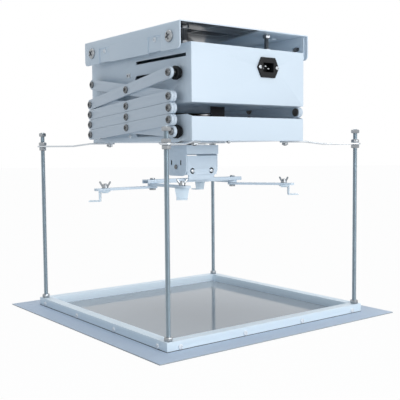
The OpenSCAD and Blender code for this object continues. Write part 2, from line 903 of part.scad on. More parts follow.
module threaded_rods() {
    low = panel_top_z + rod_end_gap;
    color(steel_colour) at_rods() translate([0, 0, low]) cylinder(h = rod_top_z - low, r = rod_r);
}

module rod_nuts() {
    color(zinc_colour) at_rods() {
        for (z = [rod_top_z - nut_h - rod_tip, strap_z, strap_z - strap_t - nut_h, frame_top_z])
            translate([0, 0, z]) hex_nut(rod_r, nut_r, nut_h);
    }
}

// Closure frame: four mitred rails, each a channel with its open side on the panel
module rail_section() {
    difference() {
        square([rail_w, frame_h]);
        translate([rail_t, -over]) square([rail_w - 2 * rail_t, frame_h - rail_t + over]);
    }
}

module frame_rail() {
    reach = frame_w / 2 - mitre_gap;
    difference() {
        intersection() {
            translate([-frame_w / 2, -frame_w / 2, panel_top_z]) cube([frame_w, rail_w, frame_h]);
            translate([0, 0, panel_low_z]) linear_extrude(panel_t + frame_h + over)
                polygon([[0, 0], [-reach, -frame_w / 2], [reach, -frame_w / 2]]);
            translate([-frame_w / 2, -frame_w / 2, panel_top_z]) rotate([90, 0, 90])
                linear_extrude(frame_w) rail_section();
        }
        at_rods() translate([0, 0, panel_top_z]) cylinder(h = frame_h + over, r = rod_r);
        for (s = [-3/2 : 3/2])
            translate([s * frame_screw_pitch, over - frame_w / 2 + rail_t, panel_top_z + frame_screw_rise])
                rotate([90, 0, 0]) cylinder(h = rail_t + 2 * over, r = screw_r);
    }
}

module frame_rails() {
    color(white_colour) for (a = [0 : 3]) rotate(a * 90) frame_rail();
}

module closure_panel() {
    color(steel_colour) translate([-panel_w / 2, -panel_w / 2, panel_low_z]) cube([panel_w, panel_w, panel_t]);
}

module frame_screws() {
    color(white_colour) for (a = [0 : 3]) rotate(a * 90) for (s = [-3/2 : 3/2])
        translate([s * frame_screw_pitch, -frame_w / 2, panel_top_z + frame_screw_rise]) rotate([90, 0, 0])
            screw(screw_r, frame_screw_len, screw_head_r, screw_head_t);
}

// Swivel: a base under the tray with a centre pin
module swivel_base() {
    color(zinc_colour) {
        translate([-base_w / 2, base_y - base_w / 2, tray_low_z - base_t]) cube([base_w, base_w, base_t]);
        translate([0, base_y, yoke_top_z - yoke_t - bolt_nut_t - slide_gap])
            cylinder(h = tray_low_z - base_t - yoke_top_z + yoke_t + bolt_nut_t + slide_gap, r = swivel_r);
        translate([0, base_y, yoke_top_z - yoke_t - slide_gap - bolt_nut_t]) cylinder(h = bolt_nut_t, r = 2 * swivel_r);
        translate([0, base_y, yoke_top_z + slide_gap])
            cylinder(h = swivel_gap - slide_gap, r = 2 * swivel_r);
        at_base_bolts() translate([0, 0, tray_low_z]) {
            cylinder(h = sheet_t, r = screw_r);
            translate([0, 0, sheet_t]) cylinder(h = screw_head_t, r = screw_head_r);
        }
    }
}

// Yoke: a top plate, two cheeks and a front lip
module cheek_outline() {
    r = yoke_corner_r;
    difference() {
        union() {
            translate([yoke_front_y, yoke_low_z + r]) square([yoke_rear_y - yoke_front_y, yoke_top_z - yoke_low_z - r]);
            translate([yoke_front_y + r, yoke_low_z]) square([yoke_rear_y - yoke_front_y - 2 * r, yoke_top_z - yoke_low_z]);
            for (y = [yoke_front_y + r, yoke_rear_y - r]) translate([y, yoke_low_z + r]) circle(r);
        }
        translate([tilt_y, tilt_z]) circle(tilt_r + pin_fit);
        for (s = [-1, 1]) translate([tilt_y + s * tilt_slot_y - tilt_slot_w / 2, tilt_z + tilt_slot_z - tilt_slot_h / 2])
            square([tilt_slot_w, tilt_slot_h]);
    }
}

module swivel_yoke() {
    outer = box_w / 2 + box_side_gap + yoke_t;
    color(white_colour) {
        difference() {
            translate([-outer, yoke_front_y, yoke_top_z - yoke_t])
                cube([2 * outer, yoke_rear_y - yoke_front_y, yoke_t]);
            translate([0, base_y, yoke_top_z - yoke_t - over]) cylinder(h = yoke_t + 2 * over, r = swivel_r + pin_fit);
        }
        both_sides() side_sheet(outer - yoke_t, yoke_t) cheek_outline();
        translate([-outer, yoke_front_y - yoke_t, lip_low_z]) cube([2 * outer, yoke_t, yoke_top_z - lip_low_z]);
        translate([-outer, yoke_rear_y, yoke_top_z - rear_lip_drop]) cube([2 * outer, yoke_t, rear_lip_drop]);
    }
}

// Tilt box between the cheeks; its front plate has two curved slots for the roll bolts
module arc_slot(x) {
    translate([x, yoke_front_y - over, roll_z]) rotate([-90, 0, 0]) difference() {
        cylinder(h = box_t + 2 * over + over, r = roll_arc_r + roll_arc_w / 2);
        translate([0, 0, -over]) cylinder(h = box_t + 2 * over + 3 * over, r = roll_arc_r - roll_arc_w / 2);
        translate([-sign(x) * roll_arc_r - roll_arc_r, -roll_arc_r / 2, -over])
            cube([2 * roll_arc_r, roll_arc_r, box_t + 2 * over + 3 * over]);
    }
}

module tilt_box() {
    color(white_colour) {
        difference() {
            translate([-box_w / 2, yoke_front_y, box_low_z]) cube([box_w, box_t, box_top_z - box_low_z]);
            for (s = [-1, 1]) {
                arc_slot(s * roll_x);
                translate([s * roll_x, yoke_front_y - over, roll_z]) rotate([-90, 0, 0])
                    cylinder(h = box_t + 2 * over, r = roll_r + pin_room);
            }
        }
        translate([0, yoke_front_y + box_t, roll_z]) rotate([-90, 0, 0]) {
            cylinder(h = lug_gap + lug_t + slide_gap, r = roll_stud_r);
            translate([0, 0, lug_gap + lug_t + slide_gap]) cylinder(h = roll_stud_cap, r = roll_stud_r + box_t);
        }
        both_sides() side_sheet(box_w / 2 - box_t, box_t) difference() {
            translate([yoke_front_y + box_t, box_low_z]) square([box_rear_y - yoke_front_y - box_t, box_top_z - box_low_z]);
            translate([tilt_y, tilt_z]) circle(tilt_r);
        }
    }
}

module tilt_bolts() {
    outer = box_w / 2 + box_side_gap + yoke_t;
    color(zinc_colour) both_sides() translate([0, tilt_y, tilt_z]) {
        x_bar(box_w / 2 - box_t - bolt_nut_t, outer + slide_gap + tilt_head_t, tilt_r);
        x_bar(box_w / 2 - box_t - bolt_nut_t, box_w / 2 - box_t, 2 * tilt_r);
        x_bar(outer + slide_gap, outer + slide_gap + tilt_head_t, tilt_head_r);
    }
}

// Cross bar with its upright lug behind the front plate
module cross_bar() {
    lug_y = yoke_front_y + box_t + lug_gap;
    color(white_colour) {
        difference() {
            union() {
                translate([-bar_len / 2, bar_y - bar_w / 2, bar_z]) cube([bar_len, bar_w, bar_h]);
                translate([-lug_w / 2, lug_y, bar_top_z - bar_t]) cube([lug_w, bar_y - bar_w / 2 - lug_y, bar_t]);
            }
            translate([-bar_len / 2 - over, bar_y - bar_w / 2 + bar_t, bar_z - over])
                cube([bar_len + 2 * over, bar_w - 2 * bar_t, bar_h - bar_t + over]);
            for (s = [-1, 1]) translate([s * bolt_x, bar_y, bar_z]) cylinder(h = bar_h + over, r = bolt_r);
        }
        difference() {
            translate([-lug_w / 2, lug_y, bar_top_z]) cube([lug_w, lug_t, roll_z + 3 * roll_arc_r - bar_top_z]);
            for (s = [-1, 1]) translate([s * roll_x, lug_y - over, roll_z]) rotate([-90, 0, 0])
                cylinder(h = lug_t + 2 * over, r = roll_r);
            translate([0, lug_y - over, roll_z]) rotate([-90, 0, 0])
                cylinder(h = lug_t + 2 * over, r = roll_stud_r + pin_fit);
        }
    }
}

module roll_bolts() {
    lug_y = yoke_front_y + box_t + lug_gap;
    color(steel_colour) for (s = [-1, 1]) translate([s * roll_x, 0, roll_z]) rotate([-90, 0, 0]) {
        translate([0, 0, yoke_front_y - slide_gap]) cylinder(h = lug_y + lug_t + bolt_nut_t - yoke_front_y + slide_gap, r = roll_r);
        translate([0, 0, yoke_front_y - slide_gap - screw_head_t / 2]) cylinder(h = screw_head_t / 2, r = roll_arc_r - roll_arc_w / 2);
        translate([0, 0, lug_y + lug_t]) cylinder(h = bolt_nut_t, r = 2 * roll_r);
    }
}

// Bolts that carry the support arms, each with a spacer inside the cross bar
module arm_bolts() {
    color(zinc_colour) for (s = [-1, 1]) translate([s * bolt_x, bar_y, 0]) {
        translate([0, 0, bar_top_z]) cylinder(h = arm_bolt_head_t, r = arm_bolt_head_r);
        translate([0, 0, bar_z]) cylinder(h = bar_h - bar_t, r = 2 * bolt_r);
        translate([0, 0, arm_end_z - reach_layer - arm_bolt_nut_t])
            cylinder(h = bar_top_z - arm_end_z + reach_layer + arm_bolt_nut_t, r = bolt_r);
        translate([0, 0, arm_end_z - reach_layer - arm_bolt_nut_t]) cylinder(h = arm_bolt_nut_t, r = 2 * bolt_r);
    }
}

// A support arm, drawn along its own first axis from its bolt
module reach_arm(top) {
    color(white_colour) translate([0, 0, top - reach_t]) linear_extrude(reach_t) difference() {
        slot_outline(reach_len, reach_w);
        circle(bolt_r + pin_fit);
        translate([reach_slot_start, 0]) slot_outline(reach_len - reach_slot_start - reach_w / 4, reach_slot_w);
    }
}

// A hook with its stud and wing nut, turned about the stud
module hook_face() {
    polygon([[-hook_w / 2, 0], [hook_w / 2, 0], [hook_foot_w / 2, -hook_drop], [-hook_foot_w / 2, -hook_drop]]);
}

module reach_hook(top, turn, wing_turn) {
    low = top - reach_t - slide_gap;
    face_x = hook_tab / 2;
    translate([hook_at, 0, 0]) rotate(turn) {
        color(white_colour) difference() {
            union() {
                translate([-hook_tab / 2, -hook_w / 2, low - hook_t]) cube([hook_tab + hook_t, hook_w, hook_t]);
                translate([face_x, 0, low]) rotate([90, 0, 90]) linear_extrude(hook_t) hook_face();
                translate([face_x, -hook_foot_w / 2, low - hook_drop - hook_t]) cube([hook_foot, hook_foot_w, hook_t]);
            }
            translate([face_x + hook_foot / 2, 0, low - hook_drop - hook_t - over])
                cylinder(h = hook_t + 2 * over, r = hook_hole_r);
        }
        color(zinc_colour) {
            translate([0, 0, low - hook_t - hook_t]) cylinder(h = hook_t, r = 2 * hook_stud_r);
            translate([0, 0, low]) cylinder(h = reach_t + 2 * slide_gap + wing_h + hook_t, r = hook_stud_r);
            translate([0, 0, top + slide_gap]) rotate(wing_turn) difference() {
                union() {
                    cylinder(h = wing_h, r = wing_r);
                    for (s = [-1, 1]) translate([0, s * (wing_r - wing_t), wing_h / 2]) rotate([-s * 35, 0, 0])
                        translate([-wing_t / 2, s < 0 ? -wing_t : 0, 0]) cube([wing_t, wing_t, wing_top - wing_h / 2]);
                }
                translate([0, 0, -over]) cylinder(h = wing_h + wing_top, r = hook_stud_r);
            }
        }
    }
}

module at_arm(side, turn) {
    translate([side * bolt_x, bar_y, 0]) rotate(turn) children();
}

ceiling_bracket();
hanger_rails();
bracket_fasteners();
hanging_studs();
housing_cover();
housing_lid();
housing_floor();
housing_screws();
power_inlet();
inlet_fittings();
motor();
gearbox();
drum_supports();
control_board();
board_parts();
limit_switches();
fixed_pivots();
drum_shaft();
belt_drum();
belt();
belt_end();
inner_arms(1);  // inner_arms_1
inner_arms(2);  // inner_arms_2
inner_arms(3);  // inner_arms_3
inner_arms(4);  // inner_arms_4
outer_arms(1);  // outer_arms_1
outer_arms(2);  // outer_arms_2
outer_arms(3);  // outer_arms_3
outer_arms(4);  // outer_arms_4
pivot_screws(1);  // pivot_screws_1
pivot_screws(2);  // pivot_screws_2
pivot_screws(3);  // pivot_screws_3
pivot_screws(4);  // pivot_screws_4
lower_axles();
rollers(level_1);  // upper_rollers
rollers(level_5);  // lower_rollers
tray_pan();
belt_anchor();
straps();
strap_bolts();
threaded_rods();
rod_nuts();
frame_rails();
closure_panel();
frame_screws();
swivel_base();
swivel_yoke();
tilt_box();
tilt_bolts();
cross_bar();
roll_bolts();
arm_bolts();
at_arm(-1, left_turn) reach_arm(lower_arm_top_z);  // arm_left
at_arm(-1, front_turn) reach_arm(arm_top_z);  // arm_front
at_arm(1, right_turn) reach_arm(lower_arm_top_z);  // arm_right
at_arm(1, rear_turn) reach_arm(arm_top_z);  // arm_rear
at_arm(-1, left_turn) reach_hook(lower_arm_top_z, left_hook_turn, left_wing_turn);  // hook_left
at_arm(-1, front_turn) reach_hook(arm_top_z, front_hook_turn, front_wing_turn);  // hook_front
at_arm(1, right_turn) reach_hook(lower_arm_top_z, right_hook_turn, right_wing_turn);  // hook_right
at_arm(1, rear_turn) reach_hook(arm_top_z, rear_hook_turn, rear_wing_turn);  // hook_rear
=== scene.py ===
"""Finish, light and camera of a motorized projector lift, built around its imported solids."""

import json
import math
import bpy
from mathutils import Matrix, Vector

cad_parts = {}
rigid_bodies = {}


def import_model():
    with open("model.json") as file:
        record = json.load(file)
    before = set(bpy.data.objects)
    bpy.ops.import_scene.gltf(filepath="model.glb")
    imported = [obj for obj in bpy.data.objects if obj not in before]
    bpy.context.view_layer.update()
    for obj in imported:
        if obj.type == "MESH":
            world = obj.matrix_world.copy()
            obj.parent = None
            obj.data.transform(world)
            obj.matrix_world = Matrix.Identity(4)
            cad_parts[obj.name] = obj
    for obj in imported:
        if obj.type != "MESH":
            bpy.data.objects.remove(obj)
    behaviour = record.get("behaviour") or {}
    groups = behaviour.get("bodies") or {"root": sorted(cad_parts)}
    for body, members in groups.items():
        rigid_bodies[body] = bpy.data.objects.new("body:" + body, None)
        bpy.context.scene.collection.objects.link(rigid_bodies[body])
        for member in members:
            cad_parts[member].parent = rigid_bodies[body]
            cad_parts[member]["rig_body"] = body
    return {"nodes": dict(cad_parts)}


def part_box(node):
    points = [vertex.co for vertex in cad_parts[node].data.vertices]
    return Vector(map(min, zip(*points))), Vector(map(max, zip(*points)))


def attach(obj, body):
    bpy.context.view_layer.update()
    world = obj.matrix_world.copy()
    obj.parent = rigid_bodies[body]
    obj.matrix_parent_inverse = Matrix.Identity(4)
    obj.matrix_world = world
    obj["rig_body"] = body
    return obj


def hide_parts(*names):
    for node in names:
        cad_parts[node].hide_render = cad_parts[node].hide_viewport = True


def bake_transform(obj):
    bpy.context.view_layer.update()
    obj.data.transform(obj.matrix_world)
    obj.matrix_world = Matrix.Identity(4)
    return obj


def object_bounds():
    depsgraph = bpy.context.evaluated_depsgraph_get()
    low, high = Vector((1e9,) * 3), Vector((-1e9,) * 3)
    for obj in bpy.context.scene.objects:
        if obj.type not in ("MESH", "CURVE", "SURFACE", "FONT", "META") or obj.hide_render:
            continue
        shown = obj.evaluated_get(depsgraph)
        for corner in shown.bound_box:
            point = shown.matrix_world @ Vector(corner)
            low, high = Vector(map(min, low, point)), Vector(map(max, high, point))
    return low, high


bl_info = {
    "name": "Projector lift looks",
    "version": (1, 0, 0),
    "blender": (4, 5, 0),
    "location": "View3D > Sidebar > Lift",
    "description": "Dresses the solids of a motorized projector lift with detailed metal parts and finishes",
    "category": "Object",
}

import bmesh
import bpy
from bpy.props import FloatProperty, FloatVectorProperty, IntProperty, PointerProperty
from bpy.types import Operator, Panel, PropertyGroup
from mathutils import Matrix, Vector

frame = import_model()
CAD_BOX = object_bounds()
BRACKET_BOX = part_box("ceiling_bracket")
MM = 0.001
AXIS_X = Vector((1, 0, 0))
AXIS_Y = Vector((0, 1, 0))
AXIS_Z = Vector((0, 0, 1))
FULL_TURN = 2 * math.pi
SHARP_ANGLE = math.radians(32)
FLAT_ANGLE = math.radians(1)
# The least share of an edge's direction, or of a face's normal, that counts as along an axis
PARALLEL_SHARE = 0.99
FACING_SHARE = 0.9
# The least length of an upright corner of the housing or tray, and of a fold of the bracket
CORNER_LENGTH = 20 * MM
FOLD_LENGTH = 100 * MM
# How near points lie that are merged, in a node's copy, in a turned piece and in the thread
NODE_MERGE = 0.002 * MM
TURN_MERGE = 0.001 * MM
THREAD_MERGE = 0.005 * MM
# How near a vertex lies to a ring of a turned profile, or to the end of a screw, to belong to it
SAME_RING = 1e-7
SAME_END = 0.01 * MM
STAGES = range(1, 5)
# Where painted light reaches the lower face of the bracket's plate, as an offset, a slope and a blur, and
# its pressed rib, whose pale line is a painted highlight
UNDERSIDE_LINE = (0.052, 0.20, 0.012)
UNDERSIDE_RIB = ((-0.026, -0.112), (0.036, 0.047), 0.0022)
# Where the slots of the yoke's cheeks lie beside and above the tilt bolts, and half their room
TILT_SLOT_PLACE = (0.015, 0.008)
TILT_SLOT_ROOM = (3 * MM, 6 * MM)
# Where the clip sits on the housing's wall and the screw on the tray's wall, as Y and Z
CLIP_PLACE = (0.0263, -0.0731)
TRAY_SCREW_PLACE = (0.0241, -0.1834)
# How far recesses and nuts are turned for each metre of their place, so that neighbours differ
PIVOT_TURN = 0.4
PIVOT_TURN_RATE = 31
SIDE_TURN_RATE = 20
FRAME_TURN_RATE = 15
STUD_TURN_RATE = 30
ROD_NUT_TURN_RATE = 40


# Settings

def length(description, default):
    """A length in metres, given in millimetres."""
    return FloatProperty(name=description, description=description, default=default * MM,
                         min=0.0, max=1.0, unit="LENGTH", precision=5)


def tint(description, default):
    """A colour that a user may change."""
    return FloatVectorProperty(name=description, description=description, default=default,
                               subtype="COLOR", size=3, min=0.0, max=1.0)


class LiftSizes(PropertyGroup):
    """Sizes of the small forms that dress the solids."""

    sheet_edge: length("Rounding of a cut sheet edge", 0.45)
    fold_radius: length("Outer radius of a folded sheet corner", 2.2)
    arm_edge: length("Rounding of a scissor arm's edge", 0.8)
    thread_pitch: length("Pitch of the rods' thread", 1.25)
    thread_depth: length("Depth of the rods' thread", 0.55)
    rod_radius: length("Outer radius of the rods", 4.0)
    pin_radius: length("Radius of the pivot pins", 4.0)
    pivot_head_radius: length("Radius of a pivot screw's head", 6.3)
    pivot_head_height: length("Height of a pivot screw's head", 3.0)
    roller_groove: length("Depth of the rollers' grooves", 0.8)
    belt_rib: length("Width of one rib of the belt's weave", 1.6)
    # The seal below is a thin black strip that paints the shade line where the frame meets the panel
    shade_line_height: length("Height of the seal round the closure frame", 0.7)
    shade_line_proud: length("How far that seal stands out", 0.5)
    # The pads are black discs that paint the shade seen through the slots of the bracket's joints
    slot_shade_pad_thickness: length("Thickness of the friction pads in the bracket's joints", 0.24)
    wing_reach: length("Half span of a wing nut", 10.5)
    wing_height: length("Height of a wing nut's wings", 12.0)
    wing_thickness: length("Thickness of a wing nut's wings", 2.2)
    stiffener_inset: length("Inset of the strip under the housing's floor from the rear", 16.0)
    stiffener_side_inset: length("Inset of that strip from the sides", 4.0)
    stiffener_run: length("Length of that strip along each side", 50.0)
    stiffener_side_drop: length("Height of that strip along each side", 2.4)
    stiffener_width: length("Width of the strip under the housing's floor", 8.0)
    stiffener_drop: length("Height of the strip under the housing's floor", 6.0)
    clip_length: length("Length of the small clip on the housing's wall", 13.0)
    clip_thickness: length("Thickness of that clip", 1.6)
    side_screw_radius: length("Radius of the screw on the tray's wall", 3.6)
    shank_room: length("Room round the shank of a roll bolt", 0.2)
    turn_steps: IntProperty(name="Turn steps", description="Steps in one turn of a turned piece",
                            default=48, min=24, max=96)


class LiftColours(PropertyGroup):
    """Colours of the finishes."""

    paint: tint("Powder coat of the sheet metal", (0.74, 0.84, 0.93))
    # Painted shade: a darker copy of the sheet's powder coat, standing in for the arms' shade
    shaded_arm_paint: tint("Powder coat of the scissor arms", (0.65, 0.73, 0.81))
    zinc: tint("Zinc plating", (0.58, 0.62, 0.66))
    nut_zinc: tint("Zinc plating of the nuts and studs", (0.34, 0.36, 0.38))
    warm_zinc: tint("Yellowed plating of the inner pivot rings", (0.26, 0.23, 0.20))
    steel: tint("Plain steel", (0.36, 0.43, 0.48))
    dark_steel: tint("Dark plated screws", (0.17, 0.18, 0.19))
    white: tint("White enamel of the small screws", (0.90, 0.93, 0.96))
    # Painted light: a paler copy of the sheet's powder coat, so that the frame and the hooks read brighter
    lit_frame_paint: tint("Paler powder coat of the closure frame and the hooks", (0.80, 0.91, 1.0))
    # Painted shade: the dark colour of the lower face of the bracket's plate
    underside: tint("Shaded sheet under the bracket's plate", (0.055, 0.055, 0.062))
    laminate: tint("Glossy closure panel", (0.36, 0.40, 0.44))
    # Painted reflection: the paler margin stands for the frame's walls mirrored in the glossy panel
    painted_rim_reflection: tint("Paler margin of the closure panel", (0.51, 0.60, 0.72))
    black: tint("Black plastic", (0.006, 0.0065, 0.008))
    webbing: tint("Belt webbing", (0.022, 0.022, 0.025))
    board: tint("Circuit board lacquer", (0.02, 0.12, 0.05))
    stage: tint("Floor and backdrop", (0.93, 0.94, 0.95))


# Shader maths

class Field:
    """A node's output socket with arithmetic on it."""

    def __init__(self, shading, socket):
        self.shading = shading
        self.socket = socket

    def beside(self, output):
        """Another output of the same node."""
        return Field(self.shading, self.socket.node.outputs[output])

    def __add__(self, other):
        return self.shading.maths("ADD", self, other)

    def __radd__(self, other):
        return self.shading.maths("ADD", other, self)

    def __sub__(self, other):
        return self.shading.maths("SUBTRACT", self, other)

    def __rsub__(self, other):
        return self.shading.maths("SUBTRACT", other, self)

    def __mul__(self, other):
        return self.shading.maths("MULTIPLY", self, other)

    def __rmul__(self, other):
        return self.shading.maths("MULTIPLY", other, self)


class Shading:
    """A node tree under construction."""

    def __init__(self, tree):
        self.tree = tree

    def node(self, kind, settings=None, values=None, output=0):
        """Adds a node of this kind, with its settings, and the values or links of its sockets."""
        made = self.tree.nodes.new(kind)
        for key, value in (settings or {}).items():
            setattr(made, key, value)
        for key, value in (values or {}).items():
            if isinstance(value, Field):
                self.tree.links.new(value.socket, made.inputs[key])
            else:
                made.inputs[key].default_value = value
        return Field(self, made.outputs[output]) if made.outputs else None

    def maths(self, operation, *values):
        """A Math node of numbers and fields."""
        return self.node("ShaderNodeMath", {"operation": operation}, dict(enumerate(values)))

    def seen_directly(self):
        """One for what the camera sees itself, in a reflection or through glass, else nothing."""
        camera = self.node("ShaderNodeLightPath", output="Is Camera Ray")
        reflected = self.maths("MAXIMUM", camera, camera.beside("Is Glossy Ray"))
        return self.maths("MAXIMUM", reflected, camera.beside("Is Transmission Ray"))


class Coat(Shading):
    """A material under construction: its Principled shader and the nodes that feed it."""

    def __init__(self, name, base, roughness, metallic=0.0):
        self.material = bpy.data.materials.new(name)
        self.material.use_nodes = True
        super().__init__(self.material.node_tree)
        self.shader = self.tree.nodes["Principled BSDF"]
        self.fix({"Base Color": (*base, 1.0), "Roughness": roughness, "Metallic": metallic})
        self.place = self.node("ShaderNodeTexCoord", output="Object")

    def fix(self, values):
        """Gives sockets of the shader values of their own."""
        for socket, value in values.items():
            self.shader.inputs[socket].default_value = value

    def feed(self, socket, field):
        """Links a field to one of the shader's sockets."""
        self.tree.links.new(field.socket, self.shader.inputs[socket])

    def noise(self, scale, detail=2.0, stretch=(1, 1, 1)):
        """Noise from nothing to one on Object coordinates, stretched along the axes."""
        mapped = self.node("ShaderNodeMapping", {}, {"Vector": self.place, "Scale": stretch})
        return self.node("ShaderNodeTexNoise", {}, {"Vector": mapped, "Scale": scale, "Detail": detail})

    def split(self):
        """The three Object coordinates."""
        first = self.node("ShaderNodeSeparateXYZ", {}, {0: self.place})
        return first, first.beside(1), first.beside(2)

    def clamp(self, field):
        """A field kept between nothing and one."""
        return self.node("ShaderNodeClamp", {}, {"Value": field})

    def distance(self, field, centre, half):
        """How far a coordinate lies outside a stretch, or inside it where it is negative."""
        return self.maths("ABSOLUTE", field - centre) - half

    def wave(self, field, span):
        """A sine of a coordinate that repeats after a span."""
        return self.maths("SINE", field * (FULL_TURN / span))

    def mix(self, share, first, second):
        """A mix of two colours."""
        values = {0: share, 6: self.rgba(first), 7: self.rgba(second)}
        return self.node("ShaderNodeMix", {"data_type": "RGBA"}, values, 2)

    @staticmethod
    def rgba(colour):
        """A colour with its alpha, or the field as it is."""
        return colour if isinstance(colour, Field) else (*colour, 1.0)

    def tones(self, share, base, darkest, lightest):
        """A base colour that varies between two brightnesses."""
        return self.mix(share, scaled(base, darkest), scaled(base, lightest))

    def bump(self, height, distance, strength):
        """Bump from a height field, with its depth in metres."""
        values = {"Height": height, "Distance": distance, "Strength": strength}
        self.feed("Normal", self.node("ShaderNodeBump", {}, values))


def scaled(colour, factor):
    """A colour made lighter or darker."""
    return tuple(min(1.0, part * factor) for part in colour)


def powder_coat(name, base, roughness=0.42, specular=0.5, clear=0.12):
    """Fine orange-peel paint with faint patches of tone."""
    coat = Coat(name, base, roughness)
    patches = coat.noise(scale=7.0, detail=3.0)
    peel = coat.noise(scale=620.0, detail=1.0)
    coat.feed("Base Color", coat.tones(patches, base, 0.965, 1.02))
    coat.feed("Roughness", peel * 0.10 + (roughness - 0.05))
    coat.bump(peel, distance=0.06 * MM, strength=0.35)
    coat.fix({"Specular IOR Level": specular, "Coat Weight": clear, "Coat Roughness": 0.25})
    return coat.material


def plated(name, base, roughness=0.28, streaks=(1, 1, 1)):
    """Plated metal: cloudy tone and fine drawing marks."""
    coat = Coat(name, base, roughness, metallic=1.0)
    clouds = coat.noise(scale=60.0, detail=4.0)
    marks = coat.noise(scale=900.0, stretch=streaks)
    coat.feed("Base Color", coat.tones(clouds, base, 0.80, 1.12))
    coat.feed("Roughness", clouds * 0.16 + marks * 0.06 + (roughness - 0.11))
    coat.bump(marks, distance=0.02 * MM, strength=0.3)
    return coat.material


def moulded(name, base, roughness=0.45):
    """Black plastic with a fine spark-eroded grain."""
    coat = Coat(name, base, roughness)
    grain = coat.noise(scale=1500.0)
    patches = coat.noise(scale=40.0)
    coat.feed("Base Color", coat.tones(patches, base, 0.85, 1.5))
    coat.feed("Roughness", grain * 0.18 + (roughness - 0.09))
    coat.bump(grain, distance=0.04 * MM, strength=0.4)
    coat.fix({"Specular IOR Level": 0.25})
    return coat.material


def plate_underside(colours, lit_line, rib):
    """Painted shade: a dark glossy sheet, with painted light past a slanted line and a pressed rib round a
    rectangle whose pale line is a painted highlight.
    """
    coat = Coat("plate_underside", colours.underside, 0.24, metallic=0.35)
    x, y, z = coat.split()
    # Painted light past a slanted line, with a blurred edge
    start, slope, blur = lit_line
    lit = coat.clamp((x - y * slope - start) * (1 / blur))
    centre, half, width = rib
    reach_x = coat.distance(x, centre[0], half[0])
    reach_y = coat.distance(y, centre[1], half[1])
    line = coat.maths("ABSOLUTE", coat.maths("MAXIMUM", reach_x, reach_y))
    ridge = 1 - coat.clamp(line * (1 / width))
    clouds = coat.noise(scale=14.0, detail=4.0)
    # Painted shade: the dark sheet, faintly cloudy
    sheet = coat.tones(clouds, colours.underside, 0.7, 1.5)
    # Painted highlight: a pale line along the rib, whose bump is real
    rib_highlight = coat.mix(ridge, sheet, scaled(colours.paint, 0.75))
    coat.feed("Base Color", coat.mix(lit, rib_highlight, scaled(colours.paint, 0.9)))
    coat.feed("Roughness", lit * 0.18 + clouds * 0.08 + 0.2)
    coat.bump(ridge, distance=0.8 * MM, strength=0.6)
    return coat.material


def glossy_laminate(colours):
    """Glossy grey plate, faintly cloudy and very slightly uneven."""
    coat = Coat("glossy_laminate", colours.laminate, 0.1)
    clouds = coat.noise(scale=5.0, detail=3.0)
    coat.feed("Base Color", coat.tones(clouds, colours.laminate, 0.93, 1.05))
    coat.feed("Roughness", clouds * 0.05 + 0.06)
    coat.fix({"IOR": 1.38})
    coat.bump(coat.noise(scale=9.0, detail=1.0), distance=0.4 * MM, strength=0.12)
    return coat.material


def threaded(name, base, pitch):
    """Plated thread: fine rings of bump along the stud, painted darker in the roots as shade and paler on
    the crests as highlight.
    """
    coat = Coat(name, base, 0.3, metallic=1.0)
    wave = coat.wave(coat.split()[2], pitch)
    # Painted shade in the roots and painted highlight on the crests, following the bump
    coat.feed("Base Color", coat.tones(wave * 0.5 + 0.5, base, 0.55, 1.2))
    coat.feed("Roughness", coat.noise(scale=60.0, detail=3.0) * 0.14 + 0.24)
    coat.bump(wave, distance=0.4 * pitch, strength=0.9)
    return coat.material


def woven(name, base, rib):
    """Belt webbing: ribs along its length crossed by a fine weft."""
    coat = Coat(name, base, 0.85)
    x, y, z = coat.split()
    warp = coat.wave(x, rib)
    weft = coat.maths("SINE", z * (FULL_TURN / (0.6 * rib)) + warp * 1.2)
    weave = warp * 0.3 + weft * 0.2 + 0.5
    coat.feed("Base Color", coat.tones(weave, base, 0.6, 2.2))
    coat.bump(weave, distance=0.3 * MM, strength=0.8)
    return coat.material


def lacquered_board(colours):
    """Green lacquer over copper tracks."""
    coat = Coat("board_lacquer", colours.board, 0.3)
    values = {"Vector": coat.place, "Scale": 60.0, "Mortar Size": 0.12}
    tracks = coat.node("ShaderNodeTexBrick", {}, values, output=1)
    coat.feed("Base Color", coat.tones(tracks, colours.board, 1.0, 1.9))
    coat.bump(tracks, distance=0.05 * MM, strength=0.5)
    return coat.material


def make_finishes(scene):
    """All finishes by name."""
    colours = scene.lift_colours
    sizes = scene.lift_sizes
    return {
        "paint": powder_coat("powder_coat", colours.paint),
        "white": powder_coat("white_enamel", colours.white, 0.3),
        "shaded_arm_paint": powder_coat("shaded_arm_powder_coat", colours.shaded_arm_paint, 0.38),
        "lit_frame_paint": powder_coat("lit_frame_powder_coat", colours.lit_frame_paint, 0.38),
        "underside": plate_underside(colours, UNDERSIDE_LINE, UNDERSIDE_RIB),
        "laminate": glossy_laminate(colours),
        "painted_rim_reflection": powder_coat("painted_rim_reflection", colours.painted_rim_reflection, 0.5, 0.2, 0.0),
        "zinc": plated("zinc_plating", colours.zinc),
        "nut_zinc": plated("nut_plating", colours.nut_zinc, 0.3),
        "warm_zinc": plated("yellowed_plating", colours.warm_zinc, 0.3),
        "threaded": threaded("threaded_plating", colours.nut_zinc, sizes.thread_pitch),
        "steel": plated("drawn_steel", colours.steel, 0.34, (1, 1, 0.05)),
        "dark_steel": plated("dark_plating", colours.dark_steel, 0.3),
        "black": moulded("black_plastic", colours.black),
        "webbing": woven("belt_webbing", colours.webbing, sizes.belt_rib),
        "board": lacquered_board(colours),
    }


FINISHES = {}


# Mesh helpers

def node_body(node):
    """The body that a node belongs to."""
    return frame["nodes"][node]["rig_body"]


def middle_of(node):
    """The middle of a node's box."""
    low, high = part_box(node)
    return (low + high) / 2


def node_points(node):
    """The places of a node's vertices."""
    return [vert.co for vert in frame["nodes"][node].data.vertices]


